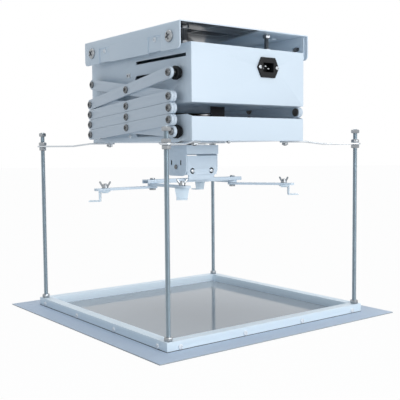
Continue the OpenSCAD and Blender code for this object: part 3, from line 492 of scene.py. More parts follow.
def mark_edges(bm):
    """Smooth faces with sharp edges where the surface turns."""
    for face in bm.faces:
        face.smooth = True
    for edge in bm.edges:
        edge.smooth = len(edge.link_faces) == 2 and edge.calc_face_angle(math.pi) < SHARP_ANGLE


def second_finish(bm, chooser):
    """Gives the piece's second finish to the faces that the chooser picks by their middle and normal."""
    bm.normal_update()
    for face in bm.faces:
        if chooser(face.calc_center_median(), face.normal):
            face.material_index = 1


def publish(bm, name, node, *finishes, replaces=True):
    """Turns a bmesh into a piece that rides with a node's body and stands for the node."""
    mark_edges(bm)
    mesh = bpy.data.meshes.new(name)
    bm.to_mesh(mesh)
    bm.free()
    piece = bpy.data.objects.new(name, mesh)
    bpy.context.scene.collection.objects.link(piece)
    for finish in finishes:
        mesh.materials.append(FINISHES[finish])
    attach(piece, node_body(node))
    if replaces:
        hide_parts(node)
    return piece


def merged_copy(node):
    """A copy of a node's mesh whose triangles share their corners."""
    bm = bmesh.new()
    bm.from_mesh(frame["nodes"][node].data)
    bmesh.ops.remove_doubles(bm, verts=bm.verts, dist=NODE_MERGE)
    return bm


def node_bmesh(node):
    """A merged copy of a node's mesh with flat areas joined into single faces."""
    bm = merged_copy(node)
    bmesh.ops.dissolve_limit(bm, angle_limit=FLAT_ANGLE, verts=bm.verts, edges=bm.edges)
    return bm


def only(items, kind):
    """The vertices, edges or faces among an operator's results."""
    return [item for item in items if isinstance(item, kind)]


def round_edges(bm, edges, radius, segments):
    """Bevels these edges."""
    bmesh.ops.bevel(bm, geom=edges, offset=radius, offset_type="OFFSET", affect="EDGES",
                    segments=segments, profile=0.5, material=-1, clamp_overlap=True)


def soften(bm, radius, segments=2, chooser=None):
    """Bevels the sharp edges, or those of them that the chooser picks."""
    chosen = [edge for edge in bm.edges
              if len(edge.link_faces) == 2 and edge.calc_face_angle(0.0) > SHARP_ANGLE
              and (chooser is None or chooser(edge))]
    round_edges(bm, chosen, radius, segments)


def cut(bm, place, normal, geom=None, clear=True):
    """Cuts at a plane, clears what lies along its normal and returns the edges of the cut."""
    cut_items = bmesh.ops.bisect_plane(bm, geom=geom or bm.verts[:] + bm.edges[:] + bm.faces[:],
                                       plane_co=place, plane_no=normal, clear_outer=clear)["geom_cut"]
    return only(cut_items, bmesh.types.BMEdge)


def runs_along(edge, axis, shortest=0.0):
    """Whether an edge runs along an axis and is longer than a length."""
    line = edge.verts[1].co - edge.verts[0].co
    return abs(line.normalized()[axis]) > PARALLEL_SHARE and line.length > shortest


def is_upright(edge):
    """Whether an edge is upright."""
    return runs_along(edge, 2)


def is_box_corner(edge):
    """Whether an edge is an upright outer corner of a box of sheet metal."""
    return runs_along(edge, 2, CORNER_LENGTH)


def is_bracket_fold(edge):
    """Whether an edge is one of the long folds between the bracket's plate and its flanges."""
    middle = (edge.verts[0].co + edge.verts[1].co) / 2
    return (runs_along(edge, 1, FOLD_LENGTH) and abs(middle.z - CAD_BOX[1].z) < MM
            and abs(abs(middle.x) - BRACKET_BOX[1].x) < MM)


def sheet_piece(node, finish, radius, segments=2, folds=None, fold_radius=0.0):
    """A copy of a node with its edges rounded, and its folded corners rounded more."""
    bm = node_bmesh(node)
    if folds:
        soften(bm, fold_radius, 4, folds)
    soften(bm, radius, segments)
    return publish(bm, f"{node}_finished", node, finish)


def islands(node):
    """The lowest and highest corner of each solid in a node, from left to right."""
    bm = merged_copy(node)
    seen = set()
    found = []
    for start in bm.verts:
        if start in seen:
            continue
        group = [start]
        seen.add(start)
        for vert in group:
            for edge in vert.link_edges:
                other = edge.other_vert(vert)
                if other not in seen:
                    seen.add(other)
                    group.append(other)
        low = Vector(min(vert.co[axis] for vert in group) for axis in range(3))
        high = Vector(max(vert.co[axis] for vert in group) for axis in range(3))
        found.append((low, high))
    bm.free()
    return sorted(found, key=lambda pair: tuple(round(value, 5) for value in pair[0]))


def side_of(low, high, axis=0):
    """One for a solid on the positive side of an axis, else minus one."""
    return 1 if low[axis] + high[axis] > 0 else -1


def inner_end(low, high, axis=2, side=1):
    """The middle of a solid's foot, or of its inner end where it lies along another axis."""
    place = (low + high) / 2
    place[axis] = low[axis] if side > 0 else high[axis]
    return place


def is_near(point, low, high):
    """Whether a point lies in a box or within a millimetre of it."""
    return all(low[axis] - MM < point[axis] < high[axis] + MM for axis in range(3))


def hexagon(angle, flat_radius):
    """Distance from the centre to a hexagon's side at an angle."""
    return flat_radius / math.cos((angle % (math.pi / 3)) - math.pi / 6)


def cross(angle, reach, half_width):
    """Distance from the centre to the outline of a cross recess at an angle."""
    turned_angle = abs((angle + math.pi / 4) % (math.pi / 2) - math.pi / 4)
    if math.tan(turned_angle) * reach < half_width:
        return reach / math.cos(turned_angle)
    return half_width / math.sin(turned_angle)


def line_of(bm, points):
    """Adds a line through points of radius and height, for a spin."""
    verts = [bm.verts.new((radius, 0.0, height)) for radius, height in points]
    return verts + [bm.edges.new(pair) for pair in zip(verts, verts[1:])]


def turned(bm, profile, place, direction=AXIS_Z, roll=0.0):
    """Spins a profile of (radius, height), with its foot at a place and its top in a direction.

    A ring with a third entry isn't round: that is its distance from the axis as a function of the angle.
    """
    steps = bpy.context.scene.lift_sizes.turn_steps
    before = set(bm.verts)
    geom = line_of(bm, [ring[:2] for ring in profile])
    bmesh.ops.spin(bm, geom=geom, cent=(0, 0, 0), axis=AXIS_Z, angle=FULL_TURN, steps=steps, use_merge=True)
    made = [vert for vert in bm.verts if vert not in before]
    shaped = [ring for ring in profile if len(ring) == 3]
    for vert in made:
        radius = math.hypot(vert.co.x, vert.co.y)
        for ring_radius, height, outline in shaped:
            if abs(vert.co.z - height) < SAME_RING and abs(radius - ring_radius) < SAME_RING:
                wanted = outline(math.atan2(vert.co.y, vert.co.x))
                vert.co.x *= wanted / radius
                vert.co.y *= wanted / radius
                break
    bmesh.ops.remove_doubles(bm, verts=made, dist=TURN_MERGE)
    made = [vert for vert in bm.verts if vert not in before]
    bmesh.ops.transform(bm, matrix=aim(place, direction, roll), verts=made)
    faces = {face for vert in made for face in vert.link_faces}
    bmesh.ops.recalc_face_normals(bm, faces=list(faces))


def aim(point, direction, roll=0.0):
    """A placement with +Z along the direction."""
    turn = AXIS_Z.rotation_difference(Vector(direction)).to_matrix().to_4x4()
    return Matrix.Translation(point) @ turn @ Matrix.Rotation(roll, 4, "Z")


def box(bm, middle, size):
    """Adds an upright box."""
    made = bmesh.ops.create_cube(bm, size=1.0)["verts"]
    bmesh.ops.scale(bm, vec=size, verts=made)
    bmesh.ops.translate(bm, vec=middle, verts=made)


def box_piece(name, node, finish, boxes, rounding):
    """A piece of boxes, each given by its middle and size, that doesn't stand for its node."""
    bm = bmesh.new()
    for middle, size in boxes:
        box(bm, middle, size)
    if rounding:
        soften(bm, rounding)
    publish(bm, name, node, finish, replaces=False)


# Profiles of radius and height, for turned()

def ring_profile(bore, radius, height):
    """A flat ring."""
    return [(bore, 0.0), (radius, 0.0), (radius, height), (bore, height), (bore, 0.0)]


def screw_profile(radius, height, shank=0.0, base=0.0):
    """A domed head with a cross recess, on a shank that reaches up to the base height."""
    reach = 0.62 * radius
    top = base + height
    outline = lambda angle: cross(angle, reach, 0.17 * radius)
    tapered = lambda angle: outline(angle) * 0.9
    stem = [(0.0, 0.0), (shank, 0.0), (shank, base)] if shank else [(0.0, 0.0)]
    dome_shares = ((0.97, 0.0), (1.0, 0.1), (1.0, 0.42), (0.95, 0.68), (0.84, 0.88), (0.70, 1.0))
    dome = [(radius * out, base + height * up) for out, up in dome_shares]
    recess = [(reach, top, outline), (reach * 0.93, top - 0.55 * height, tapered)]
    return stem + dome + recess + [(0.0, top - 0.62 * height)]


def stud_profile(radius, height):
    """A stud with chamfered ends."""
    chamfer = 0.2 * radius
    return [(0.0, 0.0), (radius - chamfer, 0.0), (radius, chamfer), (radius, height - chamfer),
            (radius - chamfer, height), (0.0, height)]


def bolt_profile(head_radius, height):
    """A bolt that stands on its thread, with its low round head on top."""
    shank = 0.47 * head_radius
    neck = height - 0.3 * head_radius
    return [(0.0, 0.0), (0.85 * shank, 0.0), (shank, 0.15 * shank), (shank, neck), (head_radius, neck),
            (head_radius, height - 0.1 * head_radius), (0.9 * head_radius, height), (0.0, height)]


def nut(bm, bore, flat_radius, height, place, roll):
    """A hexagon nut with chamfered corners and a bore."""
    side = lambda angle: hexagon(angle, flat_radius)
    rim = flat_radius * 0.96
    outside = flat_radius * 1.1
    chamfer = 0.16 * height
    profile = [(bore, 0.0), (rim, 0.0), (outside, chamfer, side), (outside, height - chamfer, side),
               (rim, height), (bore * 1.12, height), (bore, height - 0.1 * height), (bore, 0.0)]
    turned(bm, profile, place, AXIS_Z, roll)


# Pieces

class LiftOperator:
    """What the operators of this file share."""

    bl_options = {"REGISTER", "UNDO"}
    # Nodes that need only rounded edges, each with its finish, its rounding in millimetres and its segments
    rounded = ()

    def execute(self, context):
        scene = context.scene
        if not FINISHES:
            FINISHES.update(make_finishes(scene))
        self.build(scene, scene.lift_sizes)
        return {"FINISHED"}

    def build(self, scene, sizes):
        """Makes the operator's pieces."""
        self.round_off()

    def round_off(self):
        """Makes the pieces that need only rounded edges."""
        for node, finish, radius, segments in self.rounded:
            sheet_piece(node, finish, radius * MM, segments)


def make_bracket(sizes):
    """The ceiling bracket, whose plate gets painted shade, painted light and a painted highlight on its
    lower face.
    """
    bm = node_bmesh("ceiling_bracket")
    soften(bm, sizes.fold_radius, 4, is_bracket_fold)
    soften(bm, sizes.sheet_edge)
    plate = BRACKET_BOX[1].z - 4 * MM
    # The plate's lower face gets the painted shade and light
    second_finish(bm, lambda middle, normal: normal.z < -FACING_SHARE and middle.z > plate)
    publish(bm, "ceiling_bracket_finished", "ceiling_bracket", "paint", "underside")


def make_stiffener(sizes):
    """A strip round the rear of the housing's floor, underneath, with three dark screws."""
    low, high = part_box("housing_floor")
    width = sizes.stiffener_width
    run = high.x - low.x - 2 * sizes.stiffener_side_inset
    rear = high.y - sizes.stiffener_inset
    size = Vector((run, width, sizes.stiffener_drop))
    middle = Vector((0, rear - size.y / 2, low.z - size.z / 2))
    side = Vector((width, sizes.stiffener_run, sizes.stiffener_side_drop))
    ends = [Vector((way * (run - side.x) / 2, rear - size.y - side.y / 2, low.z - side.z / 2))
            for way in (-1, 1)]
    boxes = [(middle, size), (ends[0], side), (ends[1], side)]
    box_piece("floor_stiffener", "housing_floor", "warm_zinc", boxes, sizes.sheet_edge)
    bm = bmesh.new()
    profile = screw_profile(0.42 * size.z, 0.3 * size.z)
    for share in (-0.35, 0.0, 0.35):
        turned(bm, profile, Vector((share * run, rear, middle.z)), AXIS_Y)
    publish(bm, "floor_stiffener_screws", "housing_floor", "black", replaces=False)


def make_clip(sizes):
    """A small white cable clip on the left wall under the long slot, with black boxes that paint the shade
    in its two slots.
    """
    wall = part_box("housing_cover")[0].x
    y, z = CLIP_PLACE
    thick = sizes.clip_thickness
    run = sizes.clip_length
    body = (Vector((wall - thick / 2, y, z)), Vector((thick, run, 0.62 * run)))
    box_piece("side_clip", "housing_cover", "white", [body], 0.3 * thick)
    # Painted shade: black boxes in the clip's two slots
    slot = Vector((0.3 * thick, 0.16 * run, 0.34 * run))
    slots = [(Vector((wall - thick, y + side * 0.24 * run, z)), slot) for side in (-1, 1)]
    box_piece("side_clip_slot_shade", "housing_cover", "black", slots, 0.0)


def make_tray_screw(sizes):
    """A low white screw on the tray's left wall."""
    place = Vector((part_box("tray_pan")[0].x, *TRAY_SCREW_PLACE))
    radius = sizes.side_screw_radius
    bm = bmesh.new()
    turned(bm, screw_profile(radius, 0.45 * radius), place, -AXIS_X)
    publish(bm, "tray_side_screw", "tray_pan", "white", replaces=False)


class LIFT_OT_casing(LiftOperator, Operator):
    """Sheet metal of the bracket, the housing and the tray"""

    bl_idname = "lift.casing"
    bl_label = "Casing"

    def build(self, scene, sizes):
        rounding = sizes.sheet_edge
        make_bracket(sizes)
        for node in ("housing_cover", "tray_pan"):
            sheet_piece(node, "paint", rounding, folds=is_box_corner, fold_radius=sizes.fold_radius)
        for node in ("hanger_rails", "housing_lid", "housing_floor"):
            sheet_piece(node, "paint", rounding)
        make_stiffener(sizes)
        make_clip(sizes)
        make_tray_screw(sizes)


class LIFT_OT_scissors(LiftOperator, Operator):
    """Arms of both scissors"""

    bl_idname = "lift.scissors"
    bl_label = "Scissor arms"

    def build(self, scene, sizes):
        for layer in ("inner", "outer"):
            for stage in STAGES:
                # The arms get the darker copy of the powder coat, as painted shade
                sheet_piece(f"{layer}_arms_{stage}", "shaded_arm_paint", sizes.arm_edge, 3)


def make_pivots(node, sizes):
    """Each solid keeps its shank and rings, and its outer head gets a dome and a recess."""
    bm = node_bmesh(node)
    height = sizes.pivot_head_height
    profile = screw_profile(sizes.pivot_head_radius, height)
    solids = islands(node)
    for low, high in solids:
        cap_solid(bm, low, high, height)
    for low, high in solids:
        side = side_of(low, high)
        end = max(abs(low.x), abs(high.x))
        head = [co for co in node_points(node)
                if abs(side * co.x - end) < SAME_END and is_near(co, low, high)]
        y = (min(co.y for co in head) + max(co.y for co in head)) / 2
        z = (min(co.z for co in head) + max(co.z for co in head)) / 2
        base = Vector((side * (end - height), y, z))
        turned(bm, profile, base, (side, 0, 0), PIVOT_TURN + PIVOT_TURN_RATE * y)
    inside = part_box("inner_arms_1")[1].x - 5 * MM
    second_finish(bm, lambda middle, normal: abs(middle.x) < inside)
    publish(bm, f"{node}_finished", node, "dark_steel", "warm_zinc")


def cap_solid(bm, low, high, height):
    """Cuts the plain head off one solid, just above its foot, and closes the cut."""
    side = side_of(low, high)
    end = max(abs(low.x), abs(high.x))
    plane = Vector((side * (end - height + 0.02 * MM), 0, 0))
    near = [vert for vert in bm.verts if is_near(vert.co, low, high)]
    faces = list({face for vert in near for face in vert.link_faces})
    edges = list({edge for vert in near for edge in vert.link_edges})
    bmesh.ops.edgeloop_fill(bm, edges=cut(bm, plane, (side, 0, 0), near + edges + faces))


class LIFT_OT_pivots(LiftOperator, Operator):
    """Pivot screws, roller axles and the other screws whose heads show on the sides"""

    bl_idname = "lift.pivots"
    bl_label = "Pivot screws"

    def build(self, scene, sizes):
        for stage in STAGES:
            make_pivots(f"pivot_screws_{stage}", sizes)
        for node in ("lower_axles", "fixed_pivots"):
            make_pivots(node, sizes)


def make_roller(bm, low, high, sizes):
    """One roller: a hub beside the wall and a tread with grooves."""
    side = side_of(low, high)
    width = high.x - low.x
    radius = (high.z - low.z) / 2
    bore = sizes.pin_radius + 0.06 * MM
    hub = radius - 2 * MM
    step = 0.4 * width
    recess = width - 0.5 * MM
    floor = radius - sizes.roller_groove
    bevel = 0.6 * MM
    ribs = 3
    pitch = (width - step - 2 * bevel) / ribs
    profile = [(bore, 0.0), (hub - bevel, 0.0), (hub, 0.5 * MM), (hub, step),
               (radius - 0.5 * MM, step), (radius, step + 0.4 * MM)]
    for rib in range(1, ribs):
        start = step + bevel + rib * pitch - 0.4 * MM
        profile += [(radius, start), (floor, start + 0.15 * MM), (floor, start + 0.65 * MM),
                    (radius, start + 0.8 * MM)]
    profile += [(radius, width - bevel), (radius - bevel, width), (radius * 0.62, width),
                (radius * 0.58, recess), (bore, recess), (bore, 0.0)]
    turned(bm, profile, inner_end(low, high, 0, side), (side, 0, 0))


class LIFT_OT_rollers(LiftOperator, Operator):
    """Grooved black rollers"""

    bl_idname = "lift.rollers"
    bl_label = "Rollers"

    def build(self, scene, sizes):
        for node in ("upper_rollers", "lower_rollers"):
            bm = bmesh.new()
            for low, high in islands(node):
                make_roller(bm, low, high, sizes)
            publish(bm, f"{node}_finished", node, "black")


class LIFT_OT_belt(LiftOperator, Operator):
    """Lift belt, its drum and its clamp"""

    bl_idname = "lift.belt"
    bl_label = "Belt"
    rounded = (("belt_end", "webbing", 1.5, 3), ("belt_anchor", "zinc", 0.6, 2),
               ("belt_drum", "steel", 0.4, 2), ("drum_shaft", "steel", 0.5, 2),
               ("drum_supports", "zinc", 0.5, 2))

    def build(self, scene, sizes):
        low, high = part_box("belt")
        middle = (low + high) / 2
        bm = bmesh.new()
        box(bm, middle, high - low)
        soften(bm, 0.8 * MM, 3, is_upright)
        upright = [edge for edge in bm.edges if is_upright(edge)]
        bmesh.ops.subdivide_edges(bm, edges=upright, cuts=60, use_grid_fill=True)
        belt = publish(bm, "belt_run", "belt", "webbing", replaces=False)
        belt.parent = None
        belt.matrix_world = Matrix.Identity(4)
        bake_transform(belt)
        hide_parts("belt")
        self.round_off()


class LIFT_OT_drive(LiftOperator, Operator):
    """Motor, gearbox, control board and switches inside the housing"""

    bl_idname = "lift.drive"
    bl_label = "Drive and electrics"
    rounded = (("motor", "dark_steel", 1.0, 3), ("gearbox", "steel", 0.8, 2),
               ("control_board", "board", 0.2, 2), ("board_parts", "black", 0.7, 2),
               ("limit_switches", "black", 0.4, 2))


class LIFT_OT_inlet(LiftOperator, Operator):
    """Mains inlet on the front wall"""

    bl_idname = "lift.inlet"
    bl_label = "Mains inlet"
    rounded = (("power_inlet", "black", 0.7, 3), ("inlet_fittings", "zinc", 0.35, 2))


# From which width a screw's head is a flange bolt's, and from which radius it is flatter
WIDE_HEAD = 12 * MM
FLAT_RADIUS = 5 * MM


def lying_screw(bm, low, high, axis, shank_share, roll):
    """A screw along an axis: a shank and a domed head at the outer end, flatter on a large screw."""
    side = side_of(low, high, axis)
    direction = Vector((0, 0, 0))
    direction[axis] = side
    radius = (high.z - low.z) / 2
    height = radius * (0.42 if radius > FLAT_RADIUS else 0.57)
    base = high[axis] - low[axis] - height
    profile = screw_profile(radius, height, shank_share * radius, base)
    turned(bm, profile, inner_end(low, high, axis, side), direction, roll)


def make_side_screws(node, solids, name, finish):
    """Screws along X."""
    bm = bmesh.new()
    for low, high in solids:
        lying_screw(bm, low, high, 0, 0.42, SIDE_TURN_RATE * low.y)
    publish(bm, name, node, finish)


def make_frame_screws():
    """White pan screws round the closure frame, along X or Y."""
    bm = bmesh.new()
    for low, high in islands("frame_screws"):
        size = high - low
        axis = 0 if abs(size.y - size.z) < abs(size.x - size.z) else 1
        lying_screw(bm, low, high, axis, 0.47, FRAME_TURN_RATE * low.x)
    publish(bm, "frame_screws_finished", "frame_screws", "white")


def make_studs_and_nuts(node):
    """Upright studs and bolts with their nuts, told apart by their height for their width."""
    studs = bmesh.new()
    nuts = bmesh.new()
    for low, high in islands(node):
        size = high - low
        place = inner_end(low, high)
        roll = STUD_TURN_RATE * low.x
        if size.z > 0.75 * size.x:
            shape = stud_profile if size.z > 2.2 * size.x else bolt_profile
            turned(studs, shape(size.x / 2, size.z), place, AXIS_Z, roll)
        else:
            nut(nuts, 0.5 * size.y * 0.58, 0.5 * size.y, size.z, place, roll)
    publish(studs, f"{node}_threads", node, "threaded")
    publish(nuts, f"{node}_nuts", node, "nut_zinc")


class LIFT_OT_fasteners(LiftOperator, Operator):
    """Screws, nuts and studs of the bracket, the housing and the tray"""

    bl_idname = "lift.fasteners"
    bl_label = "Fasteners"

    def build(self, scene, sizes):
        solids = islands("bracket_fasteners")
        wide = [pair for pair in solids if pair[1].z - pair[0].z > WIDE_HEAD]
        narrow = [pair for pair in solids if pair not in wide]
        make_side_screws("bracket_fasteners", wide, "flange_bolts", "nut_zinc")
        make_side_screws("bracket_fasteners", narrow, "notch_screws", "white")
        make_side_screws("housing_screws", islands("housing_screws"), "housing_screws_finished", "zinc")
        make_frame_screws()
        make_studs_and_nuts("hanging_studs")
        make_studs_and_nuts("strap_bolts")


# The thread's profile as shares of its depth and of its pitch, and its steps in one turn
THREAD_SHARES = ((0.0, 0.0), (1.0, 0.4), (1.0, 0.6), (0.0, 1.0))
THREAD_STEPS = 12


def thread(low, high, sizes):
    """One rod with a real helical thread between flat ends."""
    pitch = sizes.thread_pitch
    root = sizes.rod_radius - sizes.thread_depth
    bm = bmesh.new()
    points = [(root + out * sizes.thread_depth, up * pitch) for out, up in THREAD_SHARES]
    bmesh.ops.spin(bm, geom=line_of(bm, points), cent=(0, 0, 0), axis=AXIS_Z, angle=FULL_TURN,
                   steps=THREAD_STEPS, dvec=(0, 0, pitch / THREAD_STEPS))
    covered = pitch
    while covered < high.z - low.z + 3 * pitch:
        copied = bmesh.ops.duplicate(bm, geom=bm.verts[:] + bm.edges[:] + bm.faces[:])["geom"]
        bmesh.ops.translate(bm, vec=(0, 0, covered), verts=only(copied, bmesh.types.BMVert))
        covered *= 2
    bmesh.ops.remove_doubles(bm, verts=bm.verts, dist=THREAD_MERGE)
    middle = (low + high) / 2
    bmesh.ops.translate(bm, vec=(middle.x, middle.y, low.z - 1.5 * pitch), verts=bm.verts)
    for height, normal in ((low.z, -1), (high.z, 1)):
        bmesh.ops.edgeloop_fill(bm, edges=cut(bm, (0, 0, height), (0, 0, normal)))
    bmesh.ops.recalc_face_normals(bm, faces=bm.faces)
    return bm


class LIFT_OT_rods(LiftOperator, Operator):
    """Threaded rods, their nuts and the straps that carry them"""

    bl_idname = "lift.rods"
    bl_label = "Rods and straps"
    rounded = (("straps", "zinc", 0.5, 2),)

    def build(self, scene, sizes):
        for count, (low, high) in enumerate(islands("threaded_rods"), 1):
            publish(thread(low, high, sizes), f"threaded_rod_{count}", "threaded_rods", "steel")
        bm = bmesh.new()
        for low, high in islands("rod_nuts"):
            size = high - low
            roll = ROD_NUT_TURN_RATE * low.z
            nut(bm, sizes.rod_radius, size.y / 2, size.z, inner_end(low, high), roll)
        publish(bm, "rod_nuts_finished", "rod_nuts", "nut_zinc")
        self.round_off()


def make_plate():
    """The closure panel, whose upper face is painted paler outside the frame as a reflection of the frame's
    walls.
    """
    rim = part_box("frame_rails")[1].x
    bm = node_bmesh("closure_panel")
    for axis in (AXIS_X, AXIS_Y):
        for side in (-1, 1):
            cut(bm, axis * (side * rim), axis, clear=False)
    soften(bm, 0.5 * MM)
    outside = lambda middle: max(abs(middle.x), abs(middle.y)) > rim
    # Painted reflection: the margin outside the frame gets the paler finish
    second_finish(bm, lambda middle, normal: normal.z > FACING_SHARE and outside(middle))
    publish(bm, "closure_panel_finished", "closure_panel", "laminate", "painted_rim_reflection")


def make_shade_line(sizes):
    """A thin black strip round the foot of the frame, painted as the shade line where it meets the panel."""
    low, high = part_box("frame_rails")
    proud = sizes.shade_line_proud
    thick = sizes.shade_line_height
    boxes = []
    for axis in (0, 1):
        for side in (-1, 1):
            size = Vector((proud, proud, thick))
            size[1 - axis] = high.x - low.x + 2 * proud
            middle = Vector((0, 0, low.z + thick / 2))
            middle[axis] = side * (high.x + proud / 2)
            boxes.append((middle, size))
    box_piece("frame_shade_line", "frame_rails", "black", boxes, 0.2 * thick)


class LIFT_OT_closure(LiftOperator, Operator):
    """Closure frame and panel"""

    bl_idname = "lift.closure"
    bl_label = "Closure panel"
    rounded = (("frame_rails", "lit_frame_paint", 0.7, 3),)

    def build(self, scene, sizes):
        self.round_off()
        make_plate()
        make_shade_line(sizes)


def make_yoke(sizes):
    """The yoke, with the walls of its cheeks' slots painted black as their shade."""
    centre = middle_of("tilt_bolts")
    beside, above = TILT_SLOT_PLACE
    room_y, room_z = TILT_SLOT_ROOM

    def in_slot(middle, normal):
        """Whether a face is one of the slots' walls."""
        place = middle - centre
        across = abs(abs(place.y) - beside) < room_y
        return across and abs(place.z - above) < room_z and abs(normal.x) < 0.5

    bm = node_bmesh("swivel_yoke")
    soften(bm, sizes.sheet_edge)
    # Painted shade: the walls of the cheeks' slots get black
    second_finish(bm, in_slot)
    publish(bm, "swivel_yoke_finished", "swivel_yoke", "paint", "black")


def make_roll_bolts(sizes):
    """Bolts whose bright heads stand in the curved slots, read ring by ring from their solids."""
    node = "roll_bolts"
    bm = bmesh.new()
    for low, high in islands(node):
        middle = (low + high) / 2
        rings = {}
        for co in node_points(node):
            if is_near(co, low, high):
                ring = rings.setdefault(round((co.y - low.y) / MM, 2) * MM, set())
                ring.add(round(math.hypot(co.x - middle.x, co.z - middle.z), 6))
        heights = sorted(rings)
        under_head, grip_start, end = heights[1], heights[-2], heights[-1]
        head = max(rings[heights[0]])
        grip = max(rings[end])
        shank = min(min(radii) for radii in rings.values()) - sizes.shank_room
        profile = [(0.0, 0.0), (0.8 * head, 0.0), (head, 0.25 * under_head), (head, under_head),
                   (shank, under_head), (shank, grip_start), (grip, grip_start), (grip, end), (0.0, end)]
        turned(bm, profile, inner_end(low, high, 1), AXIS_Y)
    publish(bm, "roll_bolts_finished", node, "zinc")


# A hook's stud: its radius, its rise over the arm, its tip that is read, and its room over and under the arm
STUD_RADIUS = 2.8 * MM
STUD_RISE = 8 * MM
STUD_TIP = 3 * MM
ARM_ROOM = 0.3 * MM


def make_hook(side, sizes):
    """A bent hook with its own stud and wing nut."""
    node = f"hook_{side}"
    points = node_points(node)
    top = max(co.z for co in points)
    tips = [co for co in points if co.z > top - STUD_TIP]
    centre = sum(tips, Vector()) / len(tips)
    arm_low, arm_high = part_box(f"arm_{side}")
    tab = arm_low.z - ARM_ROOM
    bm = node_bmesh(node)
    cut(bm, (0, 0, tab + 0.01 * MM), AXIS_Z)
    bmesh.ops.holes_fill(bm, edges=[edge for edge in bm.edges if edge.is_boundary])
    soften(bm, 0.4 * MM)
    publish(bm, f"{node}_plate", node, "lit_frame_paint")
    spans = [tip - centre for tip in tips]
    for span in spans:
        span.z = 0
    across = max(spans, key=lambda span: span.length).normalized()
    make_wing_nut(node, Vector((centre.x, centre.y, arm_high.z + ARM_ROOM)), across, tab, sizes)


# The wing nut's hub, as radius and height in millimetres
HUB = ((2.85, 0.0), (5.6, 0.0), (5.8, 0.8), (4.7, 4.5), (4.2, 6.2), (2.85, 6.2), (2.85, 0.0))
# A wing's outline: its lower root in millimetres, its tip as shares of reach and height, its upper root
WING_FOOT = ((2.6, 1.2), (5.2, 1.0))
WING_SHARES = ((0.72, 0.42), (1.0, 0.8), (0.94, 1.0), (0.74, 0.97), (0.5, 0.6))
WING_NECK = ((3.4, 5.9), (2.6, 5.9))


def make_wing_nut(node, seat, across, foot, sizes):
    """A stud up from its foot through the arm, and a nut with two flared wings on it."""
    bm = bmesh.new()
    turned(bm, [(radius * MM, height * MM) for radius, height in HUB], seat)
    turned(bm, stud_profile(STUD_RADIUS, seat.z + STUD_RISE - foot), Vector((seat.x, seat.y, foot)))
    half = AXIS_Z.cross(across) * (sizes.wing_thickness / 2)
    outline = [(out * MM, up * MM) for out, up in WING_FOOT]
    outline += [(out * sizes.wing_reach, up * sizes.wing_height) for out, up in WING_SHARES]
    outline += [(out * MM, up * MM) for out, up in WING_NECK]
    for side in (-1, 1):
        corners = [bm.verts.new(seat + across * (side * out) + AXIS_Z * up - half) for out, up in outline]
        face = bm.faces.new(corners)
        made = bmesh.ops.extrude_face_region(bm, geom=[face])["geom"]
        far = only(made, bmesh.types.BMVert)
        bmesh.ops.translate(bm, vec=half * 2, verts=far)
        faces = list({face for vert in corners + far for face in vert.link_faces})
        bmesh.ops.recalc_face_normals(bm, faces=faces)
        edges = list({edge for face in faces for edge in face.edges})
        round_edges(bm, edges, 0.35 * sizes.wing_thickness, 2)
    publish(bm, f"{node}_wing_nut", node, "nut_zinc")


def make_roll_slot_shade(sizes):
    """Black pads behind the curved slots, between the front plate and the bar's lug, that paint the shade
    seen through the slots.
    """
    bm = bmesh.new()
    plate_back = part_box("tilt_box")[0].y + 2.05 * MM
    profile = ring_profile(2.3 * MM, 7.0 * MM, sizes.slot_shade_pad_thickness)
    for low, high in islands("roll_bolts"):
        middle = (low + high) / 2
        turned(bm, profile, Vector((middle.x, plate_back, middle.z)), AXIS_Y)
    publish(bm, "roll_slot_shade", "cross_bar", "black", replaces=False)


def make_tilt_slot_shade(sizes):
    """Black pads between the tilt box and the yoke's cheeks, behind the cheeks' slots, that paint the shade
    seen through them.
    """
    bm = bmesh.new()
    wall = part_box("tilt_box")[1].x
    centre = middle_of("tilt_bolts")
    beside, above = TILT_SLOT_PLACE
    profile = ring_profile(0.0, 7.2 * MM, sizes.slot_shade_pad_thickness)[:-1]
    for side in (-1, 1):
        for offset in (-beside, beside):
            place = Vector((side * (wall + 0.02 * MM), centre.y + offset, centre.z + above))
            turned(bm, profile, place, (side, 0, 0))
    publish(bm, "tilt_slot_shade", "tilt_box", "black", replaces=False)


class LIFT_OT_projector_bracket(LiftOperator, Operator):
    """Projector bracket: swivel, yoke, tilt box, cross bar, arms and hooks"""

    bl_idname = "lift.projector_bracket"
    bl_label = "Projector bracket"
    rounded = (("swivel_base", "zinc", 0.4, 2), ("arm_bolts", "nut_zinc", 0.4, 2),
               ("tilt_bolts", "dark_steel", 0.4, 2))

    def build(self, scene, sizes):
        for node in ("tilt_box", "cross_bar"):
            sheet_piece(node, "paint", sizes.sheet_edge)
        make_yoke(sizes)
        make_roll_bolts(sizes)
        self.round_off()
        for side in ("left", "front", "right", "rear"):
            sheet_piece(f"arm_{side}", "paint", 0.8 * MM, 3)
            make_hook(side, sizes)
        make_roll_slot_shade(sizes)
        make_tilt_slot_shade(sizes)


# Stage

PHOTO_PIXELS = 400
PHOTO_FOCAL_PIXELS = 717.13
CAMERA_PLACE = Vector((-830.83, -1103.46, -209.90)) * MM
CAMERA_YAW = 0.6526
CAMERA_DIP = 0.0692
CAMERA_ROLL = 0.008
CAMERA_NEAR = 0.05
CAMERA_FAR = 50.0
SENSOR = 36.0
WORLD_TINT = (0.82, 0.91, 1.0)
WORLD_STRENGTH = 0.42
# How far the tray goes down, and the floor with it
TRAVEL = 0.83
FLOOR_HALF = 60.0
FLOOR_WHITE_SHARE = 0.97
# Each lamp's name, place, target, side in metres and power in watts
LAMPS = (("key", (0.3, -2.8, 0.4), (0, 0, -0.25), 1.6, 39.0),
         ("left_fill", (-2.4, -0.6, 0.6), (0, 0, -0.25), 1.6, 1.6),
         ("top", (0.2, 0.3, 2.2), (0, 0, -0.3), 2.0, 28.0))


